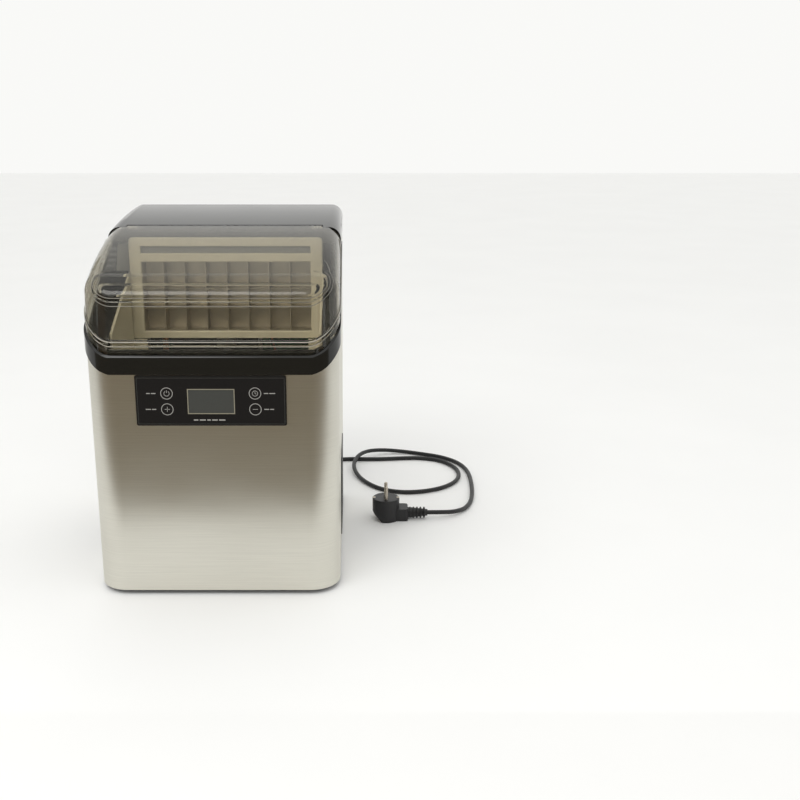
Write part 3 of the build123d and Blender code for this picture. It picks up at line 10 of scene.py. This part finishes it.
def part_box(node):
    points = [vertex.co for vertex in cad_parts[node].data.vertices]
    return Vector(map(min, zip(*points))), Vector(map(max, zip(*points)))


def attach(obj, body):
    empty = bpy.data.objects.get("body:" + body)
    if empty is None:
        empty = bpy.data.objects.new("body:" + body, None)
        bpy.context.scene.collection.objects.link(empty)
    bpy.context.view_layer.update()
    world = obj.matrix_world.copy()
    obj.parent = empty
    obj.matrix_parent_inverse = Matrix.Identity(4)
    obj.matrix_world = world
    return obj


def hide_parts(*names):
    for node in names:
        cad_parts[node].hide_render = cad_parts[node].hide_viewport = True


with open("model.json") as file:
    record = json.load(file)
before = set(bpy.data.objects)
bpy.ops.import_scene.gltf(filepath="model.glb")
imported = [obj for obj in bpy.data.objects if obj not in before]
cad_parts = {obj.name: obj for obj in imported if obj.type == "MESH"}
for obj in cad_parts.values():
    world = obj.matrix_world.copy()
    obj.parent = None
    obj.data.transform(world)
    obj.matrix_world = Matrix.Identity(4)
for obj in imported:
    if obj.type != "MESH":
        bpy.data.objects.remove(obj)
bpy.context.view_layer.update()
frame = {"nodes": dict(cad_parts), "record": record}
nodes = frame["nodes"]

# ---------------------------------------------------------------- camera
camera_data = bpy.data.cameras.new("camera")
camera_data.lens = 45
camera_data.sensor_width = 36
camera_data.shift_x = 0.05625
camera = bpy.data.objects.new("camera", camera_data)
camera.location = (0.163, -1.265, 0.552)
CAMERA_PITCH = 15.85  # degrees below the horizon
camera.rotation_euler = (math.radians(90 - CAMERA_PITCH), 0, 0)
bpy.context.collection.objects.link(camera)
bpy.context.scene.camera = camera

# ---------------------------------------------------------------- mains cord
CORD_RADIUS = 0.0032
# from the gland on the rear panel, round two loops on the floor, to the plug's neck
CORD_POINTS = [
    (0.092, 0.192, 0.046),
    (0.092, 0.213, 0.046),
    (0.093, 0.238, 0.034),
    (0.096, 0.262, 0.015),
    (0.105, 0.285, 0.0045),
    (0.123, 0.303, CORD_RADIUS),
    (0.152, 0.310, CORD_RADIUS),
    (0.183, 0.308, CORD_RADIUS),
    (0.214, 0.309, CORD_RADIUS),
    (0.246, 0.314, CORD_RADIUS),
    (0.276, 0.314, CORD_RADIUS),
    (0.304, 0.302, CORD_RADIUS),
    (0.324, 0.274, CORD_RADIUS),
    (0.330, 0.240, CORD_RADIUS),
    (0.322, 0.204, CORD_RADIUS),
    (0.300, 0.176, CORD_RADIUS),
    (0.268, 0.159, CORD_RADIUS),
    (0.234, 0.155, CORD_RADIUS),
    (0.203, 0.168, CORD_RADIUS),
    (0.181, 0.196, CORD_RADIUS),
    (0.166, 0.230, 0.0042),
    (0.160, 0.266, 0.0072),
    (0.166, 0.299, 0.0112),
    (0.182, 0.327, 0.0112),
    (0.210, 0.345, 0.0072),
    (0.244, 0.346, 0.0040),
    (0.276, 0.335, CORD_RADIUS),
    (0.307, 0.320, CORD_RADIUS),
    (0.332, 0.293, CORD_RADIUS),
    (0.343, 0.258, CORD_RADIUS),
    (0.345, 0.220, CORD_RADIUS),
    (0.343, 0.182, CORD_RADIUS),
    (0.340, 0.149, CORD_RADIUS),
    (0.334, 0.116, CORD_RADIUS),
    (0.323, 0.089, 0.0038),
    (0.306, 0.070, 0.0065),
    (0.286, 0.062, 0.009),
    (0.266, 0.062, 0.009),
]


def cord_curve(name, points, radius):
    data = bpy.data.curves.new(name, "CURVE")
    data.dimensions = "3D"
    # the points carry the radius, so that the curve's own box stays as tight as its tube
    data.bevel_depth = 1.0
    data.bevel_resolution = 6
    data.resolution_u = 10
    data.use_fill_caps = True
    spline = data.splines.new("NURBS")
    spline.points.add(len(points) - 1)
    for point, place in zip(spline.points, points):
        point.co = (*place, 1)
        point.radius = radius
    spline.order_u = 3
    spline.use_endpoint_u = True
    piece = bpy.data.objects.new(name, data)
    bpy.context.collection.objects.link(piece)
    return piece


cord = cord_curve("mains_cord", CORD_POINTS, CORD_RADIUS)
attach(cord, "housing")
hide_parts("power_cord")


# ---------------------------------------------------------------- materials
class Paint:
    """A procedural material: one Principled shader with grain in colour, roughness and height."""

    def __init__(self, name, colour, roughness, **sockets):
        self.material = bpy.data.materials.new(name)
        self.material.use_nodes = True
        self.tree = self.material.node_tree
        self.tree.nodes.clear()
        self.output = self.tree.nodes.new("ShaderNodeOutputMaterial")
        self.shader = self.tree.nodes.new("ShaderNodeBsdfPrincipled")
        self.tree.links.new(self.shader.outputs[0], self.output.inputs["Surface"])
        self.colour = colour
        self.roughness = roughness
        self.shader.inputs["Base Color"].default_value = (*colour, 1)
        self.shader.inputs["Roughness"].default_value = roughness
        for socket, value in sockets.items():
            self.shader.inputs[socket.replace("_", " ")].default_value = value

    def noise(self, scale, stretch=(1, 1, 1), detail=3.0, roughness=0.55):
        place = self.tree.nodes.new("ShaderNodeTexCoord")
        mapping = self.tree.nodes.new("ShaderNodeMapping")
        mapping.inputs["Scale"].default_value = stretch
        noise = self.tree.nodes.new("ShaderNodeTexNoise")
        noise.inputs["Scale"].default_value = scale
        noise.inputs["Detail"].default_value = detail
        noise.inputs["Roughness"].default_value = roughness
        self.tree.links.new(place.outputs["Object"], mapping.inputs["Vector"])
        self.tree.links.new(mapping.outputs[0], noise.inputs["Vector"])
        return noise.outputs["Fac"]

    def spread(self, source, low, high):
        """Stretches the middle of a noise's range to run from low to high."""
        node = self.tree.nodes.new("ShaderNodeMapRange")
        node.inputs["From Min"].default_value = 0.3
        node.inputs["From Max"].default_value = 0.7
        node.inputs["To Min"].default_value = low
        node.inputs["To Max"].default_value = high
        self.tree.links.new(source, node.inputs["Value"])
        return node.outputs["Result"]

    def tint(self, source, amount):
        """Colour runs between a darker and a lighter tone."""
        mix = self.tree.nodes.new("ShaderNodeMix")
        mix.data_type = "RGBA"
        dark = [value * (1 - amount) for value in self.colour]
        light = [min(1, value * (1 + amount)) for value in self.colour]
        mix.inputs["A"].default_value = (*dark, 1)
        mix.inputs["B"].default_value = (*light, 1)
        self.tree.links.new(self.spread(source, 0, 1), mix.inputs["Factor"])
        self.tree.links.new(mix.outputs["Result"], self.shader.inputs["Base Color"])
        return self

    def wear(self, source, amount):
        """Roughness runs a little below and above its own value."""
        low, high = max(0.02, self.roughness - amount), self.roughness + amount
        worn = self.spread(source, low, high)
        self.tree.links.new(worn, self.shader.inputs["Roughness"])
        return self

    def relief(self, source, height, strength):
        """Fine bumps of the given height, too small to model."""
        bump = self.tree.nodes.new("ShaderNodeBump")
        bump.inputs["Distance"].default_value = height
        bump.inputs["Strength"].default_value = strength
        self.tree.links.new(source, bump.inputs["Height"])
        self.tree.links.new(bump.outputs[0], self.shader.inputs["Normal"])
        return self


def brushed_steel():
    paint = Paint("brushed_steel", (0.70, 0.685, 0.615), 0.35, Metallic=1.0, Anisotropic=0.78)
    lines = paint.noise(1.0, (14, 14, 2600), 4.0, 0.7)
    patches = paint.noise(7.0, (1, 1, 1.6), 2.0)
    paint.tint(lines, 0.07)
    paint.wear(patches, 0.035)
    paint.relief(lines, 0.00001, 0.35)
    tangent = paint.tree.nodes.new("ShaderNodeTangent")
    tangent.direction_type = "RADIAL"
    tangent.axis = "Z"
    paint.tree.links.new(tangent.outputs[0], paint.shader.inputs["Tangent"])
    return paint.material


def gloss_plastic(name, colour, roughness, dust=0.0):
    paint = Paint(name, colour, roughness)
    orange_peel = paint.noise(160, detail=2.0)
    haze = paint.noise(11, detail=4.0)
    paint.wear(haze, roughness * 0.35)
    paint.relief(orange_peel, 0.00002, 0.25)
    if dust:
        paint.tint(paint.noise(900, detail=5.0), dust)
    return paint.material


def satin_plastic(name, colour, roughness, grain=1400, height=0.00004, vary=0.06):
    paint = Paint(name, colour, roughness)
    paint.tint(paint.noise(26, detail=4.0), vary)
    paint.wear(paint.noise(40, detail=3.0), 0.05)
    paint.relief(paint.noise(grain, detail=2.0), height, 0.5)
    return paint.material


def metal(name, colour, roughness):
    paint = Paint(name, colour, roughness, Metallic=1.0)
    grain = paint.noise(300, detail=4.0)
    paint.tint(paint.noise(35, detail=4.0), 0.10)
    paint.wear(grain, 0.05)
    paint.relief(grain, 0.00001, 0.3)
    return paint.material


def smoked_clear():
    """Smoked acrylic, darker where more of it is in the way.

    Lamps pass it, so that what is inside is lit.
    """
    paint = Paint("smoked_clear", (0.95, 0.945, 0.90), 0.03, IOR=1.45)
    paint.shader.inputs["Transmission Weight"].default_value = 1.0
    paint.wear(paint.noise(14, detail=4.0), 0.012)
    paint.relief(paint.noise(24, detail=1.0), 0.00003, 0.25)
    film = paint.tree.nodes.new("ShaderNodeBsdfTransparent")
    film.inputs["Color"].default_value = (0.97, 0.965, 0.95, 1)
    smoke = paint.tree.nodes.new("ShaderNodeVolumeAbsorption")
    smoke.inputs["Color"].default_value = (0.36, 0.31, 0.19, 1)
    smoke.inputs["Density"].default_value = 185
    paint.tree.links.new(smoke.outputs[0], paint.output.inputs["Volume"])
    path = paint.tree.nodes.new("ShaderNodeLightPath")
    mix = paint.tree.nodes.new("ShaderNodeMixShader")
    paint.tree.links.new(path.outputs["Is Shadow Ray"], mix.inputs[0])
    paint.tree.links.new(paint.shader.outputs[0], mix.inputs[1])
    paint.tree.links.new(film.outputs[0], mix.inputs[2])
    paint.tree.links.new(mix.outputs[0], paint.output.inputs["Surface"])
    return paint.material


def circuit_board():
    paint = Paint("circuit_board", (0.02, 0.13, 0.05), 0.35)
    paint.tint(paint.noise(1.0, (500, 60, 60), 1.0), 0.35)
    paint.relief(paint.noise(600, detail=1.0), 0.00005, 0.4)
    return paint.material


def display_grey():
    """The unlit display: grey film over faint cell stripes."""
    paint = Paint("lcd_grey", (0.050, 0.052, 0.048), 0.16)
    stripes = paint.noise(1.0, (900, 1, 900), 1.0)
    paint.tint(stripes, 0.05)
    paint.wear(paint.noise(50, detail=2.0), 0.03)
    return paint.material


MATERIALS = {
    "brushed_steel": brushed_steel(),
    "black_gloss": gloss_plastic("black_gloss", (0.006, 0.006, 0.005), 0.12, 0.25),
    "panel_gloss": gloss_plastic("panel_gloss", (0.006, 0.006, 0.007), 0.08),
    "black_satin": satin_plastic("black_satin", (0.018, 0.018, 0.019), 0.42),
    "smoked_clear": smoked_clear(),
    "lcd_frame": satin_plastic("lcd_frame", (0.24, 0.22, 0.16), 0.40, vary=0.03),
    "lcd_grey": display_grey(),
    "key_print": satin_plastic("key_print", (0.30, 0.29, 0.27), 0.45, vary=0.04),
    "circuit_board": circuit_board(),
    "cream_plastic": satin_plastic("cream_plastic", (0.84, 0.78, 0.62), 0.38, vary=0.04),
    "white_plastic": satin_plastic("white_plastic", (0.74, 0.74, 0.72), 0.40, vary=0.03),
    "grey_plastic": satin_plastic("grey_plastic", (0.30, 0.30, 0.28), 0.45),
    "basket_white": satin_plastic(
        "basket_white", (0.86, 0.86, 0.86), 0.30, grain=500, height=0.00002, vary=0.02
    ),
    "nickel_plate": metal("nickel_plate", (0.58, 0.53, 0.45), 0.45),
    "copper": metal("copper", (0.72, 0.33, 0.17), 0.28),
    "brass": metal("brass", (0.68, 0.48, 0.20), 0.30),
    "condenser_alloy": metal("condenser_alloy", (0.60, 0.61, 0.62), 0.34),
    "compressor_black": satin_plastic("compressor_black", (0.012, 0.012, 0.013), 0.34, grain=700),
    "rubber_black": satin_plastic(
        "rubber_black", (0.022, 0.021, 0.020), 0.68, grain=2200, height=0.00008
    ),
    "clear_hose": satin_plastic("clear_hose", (0.72, 0.73, 0.70), 0.22, grain=200),
    "cord_black": satin_plastic(
        "cord_black", (0.010, 0.010, 0.011), 0.46, grain=2600, height=0.00005
    ),
    "pin_steel": metal("pin_steel", (0.58, 0.57, 0.55), 0.26),
}
for row in frame["record"]["subparts"]:
    for place in nodes[row["node"]].material_slots:
        place.material = MATERIALS[row["material_slot"]]


# ---------------------------------------------------------------- small pieces
def make_piece(name, mesh_maker, slot, body="housing", smooth=False):
    data = bpy.data.meshes.new(name)
    mesh = bmesh.new()
    mesh_maker(mesh)
    bmesh.ops.recalc_face_normals(mesh, faces=mesh.faces)
    mesh.to_mesh(data)
    mesh.free()
    if smooth:
        for face in data.polygons:
            face.use_smooth = True
    piece = bpy.data.objects.new(name, data)
    bpy.context.collection.objects.link(piece)
    data.materials.append(MATERIALS[slot])
    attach(piece, body)
    return piece


PANEL_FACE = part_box("control_panel")[0].y
PRINT = 0.00008                        # how far a printed mark stands out of the panel
UPPER_KEYS, LOWER_KEYS = 0.2505, 0.2318  # heights of the two rows of keys
KEY_SIDE = 0.050                       # from the panel's middle line to a key's middle


def printed_bar(mesh, start, end, width):
    """A flat printed stroke on the panel, between two points given as (x, z)."""
    start, end = Vector((start[0], 0, start[1])), Vector((end[0], 0, end[1]))
    along = (end - start).normalized()
    side = Vector((-along.z, 0, along.x)) * (width / 2)
    front, back = Vector((0, PANEL_FACE - PRINT, 0)), Vector((0, PANEL_FACE + PRINT, 0))
    corners = [start - side, end - side, end + side, start + side]
    near = [mesh.verts.new(corner + front) for corner in corners]
    far = [mesh.verts.new(corner + back) for corner in corners]
    mesh.faces.new(near)
    mesh.faces.new(far[::-1])
    for i in range(4):
        mesh.faces.new((near[i], far[i], far[(i + 1) % 4], near[(i + 1) % 4]))


def printed_arc(mesh, centre, radius, start, end, width, steps=24):
    angles = [math.radians(start + (end - start) * i / steps) for i in range(steps + 1)]
    rings = []
    for angle in angles:
        ring = []
        for reach in (radius - width / 2, radius + width / 2):
            for depth in (-PRINT, PRINT):
                x = centre[0] + reach * math.cos(angle)
                z = centre[1] + reach * math.sin(angle)
                ring.append(mesh.verts.new((x, PANEL_FACE + depth, z)))
        rings.append(ring)
    for a, b in zip(rings, rings[1:]):
        for i, j in ((0, 1), (1, 3), (3, 2), (2, 0)):
            mesh.faces.new((a[i], a[j], b[j], b[i]))
    mesh.faces.new((rings[0][0], rings[0][1], rings[0][3], rings[0][2]))
    mesh.faces.new((rings[-1][0], rings[-1][1], rings[-1][3], rings[-1][2]))


def key_marks(mesh):
    """Generic signs in the four keys: power, plus, clock and minus."""
    left, right = -KEY_SIDE, KEY_SIDE
    upper, lower = UPPER_KEYS, LOWER_KEYS
    line = 0.0006
    printed_arc(mesh, (left, upper), 0.0030, 125, 415, line)
    printed_bar(mesh, (left, upper + 0.0008), (left, upper + 0.0036), line)
    printed_bar(mesh, (left - 0.0030, lower), (left + 0.0030, lower), line)
    printed_bar(mesh, (left, lower - 0.0030), (left, lower + 0.0030), line)
    printed_arc(mesh, (right, upper), 0.0031, 0, 360, line)
    printed_bar(mesh, (right, upper), (right, upper + 0.0021), line)
    printed_bar(mesh, (right, upper), (right + 0.0015, upper - 0.0008), line)
    printed_bar(mesh, (right - 0.0029, lower), (right + 0.0029, lower), line)


def label_dashes(mesh):
    """Rows of plain dashes stand where the panel carries small words."""
    rows = [
        (-0.0730, UPPER_KEYS, (0.0042, 0.0052)),
        (-0.0745, LOWER_KEYS, (0.0060, 0.0048)),
        (0.0600, UPPER_KEYS, (0.0050, 0.0066)),
        (0.0600, LOWER_KEYS, (0.0056, 0.0044)),
    ]
    for start, z, lengths in rows:
        for length in lengths:
            printed_bar(mesh, (start, z), (start + length, z), 0.0011)
            start += length + 0.0012
    start, z = -0.0205, 0.2192
    for length in (0.0052, 0.0070, 0.0040, 0.0062, 0.0072):
        printed_bar(mesh, (start, z), (start + length, z), 0.0015)
        start += length + 0.0016


def panel_outline(mesh):
    """Fine line printed just inside the panel's edge."""
    low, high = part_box("control_panel")
    left, right = low.x + 0.0022, high.x - 0.0022
    bottom, top = low.z + 0.0020, high.z - 0.0030
    line = 0.0004
    printed_bar(mesh, (left, bottom), (right, bottom), line)
    printed_bar(mesh, (left, top), (right, top), line)
    printed_bar(mesh, (left, bottom), (left, top), line)
    printed_bar(mesh, (right, bottom), (right, top), line)


make_piece("panel_outline", panel_outline, "lcd_grey")
make_piece("key_marks", key_marks, "key_print")
make_piece("label_dashes", label_dashes, "key_print")


# ---------------------------------------------------------------- painted highlight lines round the lid
# the lid's plan just outside its beads, and how its walls lean in as they rise
LID_PLAN = {"half_width": 0.1474, "front": -0.1764, "corner": 0.0379, "bottom": 0.293}
FRONT_LEAN, SIDE_LEAN = 0.1405, 0.012
# the rise of its lower edge at depths behind the front, and its slope from there on
SLOPE = 0.62
EDGE_RISE = [
    (0.0, 0.0), (0.002, 0.0026), (0.005, 0.0061), (0.009, 0.0103), (0.0165, 0.0172),
    (0.0215, 0.0214), (0.0295, 0.0270), (0.0375, 0.0318), (0.0515, 0.0395), (0.0965, 0.0634),
]


def edge_rise(depth):
    """How far the lid's lower edge has risen at a depth behind its front."""
    for (near, low), (far, high) in zip(EDGE_RISE, EDGE_RISE[1:]):
        if depth <= far:
            return low + (high - low) * (depth - near) / (far - near)
    return EDGE_RISE[-1][1] + SLOPE * (depth - EDGE_RISE[-1][0])


def lid_outline(side, along, half_width, front):
    """A point of the lid's plan, measured from the middle of its front, and the way out from it."""
    corner = LID_PLAN["corner"]
    half = half_width - corner
    arc = corner * math.pi / 2
    if along <= half:
        return Vector((side * along, front, 0)), Vector((0, -1, 0))
    if along <= half + arc:
        angle = (along - half) / corner
        out = Vector((side * math.sin(angle), -math.cos(angle), 0))
        return Vector((side * half, front + corner, 0)) + out * corner, out
    return Vector((side * half_width, front + corner + along - half - arc, 0)), Vector((side, 0, 0))


def lid_highlight_line(mesh, height, reach, width, proud=0.00025, sunk=0.0002, step=0.002):
    """A thin ridge along the lid's surface, to carry a painted highlight, level at the front and
    rising with the lower edge.

    It runs back along both sides for reach behind the front. Each place is found by a ray from
    clear of the lid to its wall.
    """
    clear, ray_length = 0.02, 0.06
    surface = BVHTree.FromObject(nodes["lid"], bpy.context.evaluated_depsgraph_get())
    corner = LID_PLAN["corner"]
    half_width = LID_PLAN["half_width"] - (height - LID_PLAN["bottom"]) * SIDE_LEAN
    front = LID_PLAN["front"] + (height - LID_PLAN["bottom"]) * FRONT_LEAN
    half = half_width - corner
    arc = corner * math.pi / 2
    total = half + arc + reach - corner
    sections = []
    count = math.ceil(total / step)
    for i in range(-count, count + 1):
        side, along = (1 if i > 0 else -1), abs(i) * total / count
        place, out = lid_outline(side, along, half_width, front)
        place.z = height + edge_rise(place.y - front)
        hit, normal, _, _ = surface.ray_cast(place + out * clear, -out, ray_length)
        if hit is None:
            continue
        across = normal.cross(Vector((out.y, -out.x, 0))).normalized() * (width / 2)
        sections.append([
            mesh.verts.new(hit + across - normal * sunk),
            mesh.verts.new(hit + normal * proud),
            mesh.verts.new(hit - across - normal * sunk),
        ])
    for a, b in zip(sections, sections[1:]):
        for i in range(2):
            mesh.faces.new((a[i], a[i + 1], b[i + 1], b[i]))


def upper_highlight_lines(mesh):
    for height in (0.3485, 0.3530, 0.3575):
        lid_highlight_line(mesh, height, reach=0.066, width=0.0009)


def lower_highlight_lines(mesh):
    for height in (0.3040, 0.3090):
        lid_highlight_line(mesh, height, reach=0.150, width=0.0012)


# the ridges are coloured lighter than the smoked lid: painted highlights standing for the light its
# beads catch
for name, maker, colour in (
    ("lid_upper_highlights", upper_highlight_lines, (0.27, 0.255, 0.22)),
    ("lid_lower_highlights", lower_highlight_lines, (0.46, 0.44, 0.39)),
):
    lines = make_piece(name, maker, "smoked_clear", "lid", smooth=True)
    lines.data.materials[0] = satin_plastic(name + "_paint", colour, 0.25, vary=0.10)


# ---------------------------------------------------------------- plug
def ring_band(mesh, centre, axis, radius, half_width, thickness, steps=40):
    """A rounded rib round an axis."""
    axis = Vector(axis).normalized()
    side = axis.orthogonal().normalized()
    up = axis.cross(side)
    profile = [
        (-half_width, 0.0),
        (-half_width * 0.8, 0.7),
        (-half_width * 0.4, 1.0),
        (half_width * 0.4, 1.0),
        (half_width * 0.8, 0.7),
        (half_width, 0.0),
    ]
    rings = []
    for i in range(steps):
        angle = math.tau * i / steps
        out = side * math.cos(angle) + up * math.sin(angle)
        rings.append([
            mesh.verts.new(Vector(centre) + axis * offset + out * (radius + thickness * rise))
            for offset, rise in profile
        ])
    for a, b in zip(rings, rings[1:] + rings[:1]):
        for i in range(len(profile) - 1):
            mesh.faces.new((a[i], a[i + 1], b[i + 1], b[i]))
        mesh.faces.new((a[-1], a[0], b[0], b[-1]))


PLUG_CENTRE = Vector((0.207, 0.062, 0.009))
HEAD_SIDE, HEAD_TOP = 0.0192, 0.0322  # just proud of the plug head's side and face
HEAD_BASE = 0.0180                    # top of the plug's lower body
NECK_START, NECK_END = 0.236, 0.266
NECK_WIDE, NECK_NARROW = 0.008, 0.0046
RIB_COUNT, RIB_FIRST, RIB_PITCH, RIB_REACH = 5, 0.2412, 0.0050, 0.0083


def strain_ribs(mesh):
    """Ribs of the bend protector between the plug's body and the cord."""
    for i in range(RIB_COUNT):
        x = RIB_FIRST + RIB_PITCH * i
        share = (x - NECK_START) / (NECK_END - NECK_START)
        radius = NECK_WIDE + (NECK_NARROW - NECK_WIDE) * share
        centre = (x, PLUG_CENTRE.y, PLUG_CENTRE.z)
        ring_band(mesh, centre, (1, 0, 0), radius - 0.0004, 0.0015, RIB_REACH - radius)


def curved_strip(mesh, inner, outer, low, high, middle, half_angle, steps=6):
    """A strip bent round the plug's head, between two radii, two heights and two angles."""
    sections = []
    for i in range(steps + 1):
        angle = math.radians(middle - half_angle + 2 * half_angle * i / steps)
        corners = ((inner, low), (outer, low), (outer, high), (inner, high))
        sections.append([
            mesh.verts.new((
                PLUG_CENTRE.x + reach * math.cos(angle), PLUG_CENTRE.y + reach * math.sin(angle), z
            ))
            for reach, z in corners
        ])
    for a, b in zip(sections, sections[1:]):
        for i in range(4):
            j = (i + 1) % 4
            mesh.faces.new((a[i], a[j], b[j], b[i]))
    mesh.faces.new(sections[0])
    mesh.faces.new(sections[-1])


def earth_clips(mesh):
    """The sprung earth contacts: one up the plug head's side, and one over each side of its rim."""
    thick, half_angle = 0.0006, 8
    curved_strip(mesh, HEAD_SIDE - thick, HEAD_SIDE, HEAD_BASE, HEAD_TOP, 180, half_angle)
    for middle in (0, 180):
        curved_strip(mesh, 0.0150, 0.0190, HEAD_TOP - thick, HEAD_TOP, middle, half_angle)


ribs = make_piece("strain_ribs", strain_ribs, "cord_black", smooth=True)
clips = make_piece("earth_clips", earth_clips, "nickel_plate")
cord.data.materials.append(MATERIALS["cord_black"])


# ---------------------------------------------------------------- studio
def stage_plane(name, corners, material, seen=True):
    """A flat sheet of the studio. One that isn't seen shows only in reflections."""
    data = bpy.data.meshes.new(name)
    data.from_pydata(corners, [], [tuple(range(len(corners)))])
    data.materials.append(material)
    piece = bpy.data.objects.new(name, data)
    if not seen:
        piece.visible_camera = False
        piece.visible_transmission = False
        piece.visible_diffuse = False
        piece.visible_shadow = False
    bpy.context.collection.objects.link(piece)
    return piece


def flat_corners(half_width, front, back, height):
    return [
        (-half_width, front, height), (half_width, front, height),
        (half_width, back, height), (-half_width, back, height),
    ]


floor_paint = Paint("floor_paint", (0.92, 0.92, 0.915), 0.6)
floor_paint.tint(floor_paint.noise(3.0), 0.01)
stage_plane("floor", flat_corners(9, -9, 9, 0), floor_paint.material)

CARD_FOOT = 0.002  # height of a card's lower edge, just off the floor


def card_paint(name, colour):
    paint = Paint(name, colour, 0.8)
    paint.tint(paint.noise(3.0), 0.05)
    return paint.material


def reflection_card(name, centre, width, height, colour):
    """An upright card beside the camera's view, turned to the machine."""
    centre = Vector((*centre, CARD_FOOT))
    side = Vector((-centre.y, centre.x, 0)).normalized() * (width / 2)
    top = Vector((0, 0, height))
    corners = [centre - side, centre + side, centre + side + top, centre - side + top]
    stage_plane(name, corners, card_paint(name + "_paint", colour), False)


DARK, BROWN, GREY = (0.050, 0.040, 0.026), (0.26, 0.15, 0.07), (0.16, 0.155, 0.13)
CARDS = {
    "card_front": ((0.0, -3.0), 3.4, 2.0, DARK),
    "card_grey_left": ((-2.1, 0.9), 2.6, 1.8, GREY),
    "card_brown_left": ((-1.25, -1.25), 0.9, 1.5, BROWN),
    "card_dark_left": ((-1.85, -0.55), 0.6, 1.5, DARK),
    "card_brown_right": ((1.35, -1.35), 0.6, 1.5, BROWN),
    "card_dark_right": ((1.95, -0.65), 0.6, 1.5, DARK),
}
for name, measures in CARDS.items():
    reflection_card(name, *measures)
# the table's dark front edge, which the steel shows in its upper half
table_edge = card_paint("table_edge_paint", (0.175, 0.145, 0.100))
stage_plane("card_floor", flat_corners(1.7, -3, -0.42, 0.001), table_edge, False)

bpy.context.scene.view_settings.view_transform = "Standard"
world = bpy.data.worlds.new("studio")
world.use_nodes = True
background = world.node_tree.nodes["Background"]
background.inputs["Color"].default_value = (1.0, 1.0, 0.98, 1)
background.inputs["Strength"].default_value = 0.95
bpy.context.scene.world = world


def soft_lamp(name, place, target, size, power):
    data = bpy.data.lights.new(name, "AREA")
    data.shape = "RECTANGLE"
    data.size, data.size_y = size
    data.energy = power
    lamp = bpy.data.objects.new(name, data)
    lamp.location = place
    lamp.rotation_euler = (Vector(target) - Vector(place)).to_track_quat("-Z", "Y").to_euler()
    bpy.context.collection.objects.link(lamp)


soft_lamp("key", (-0.7, -1.3, 1.9), (0, -0.1, 0.2), (1.4, 1.0), 14)
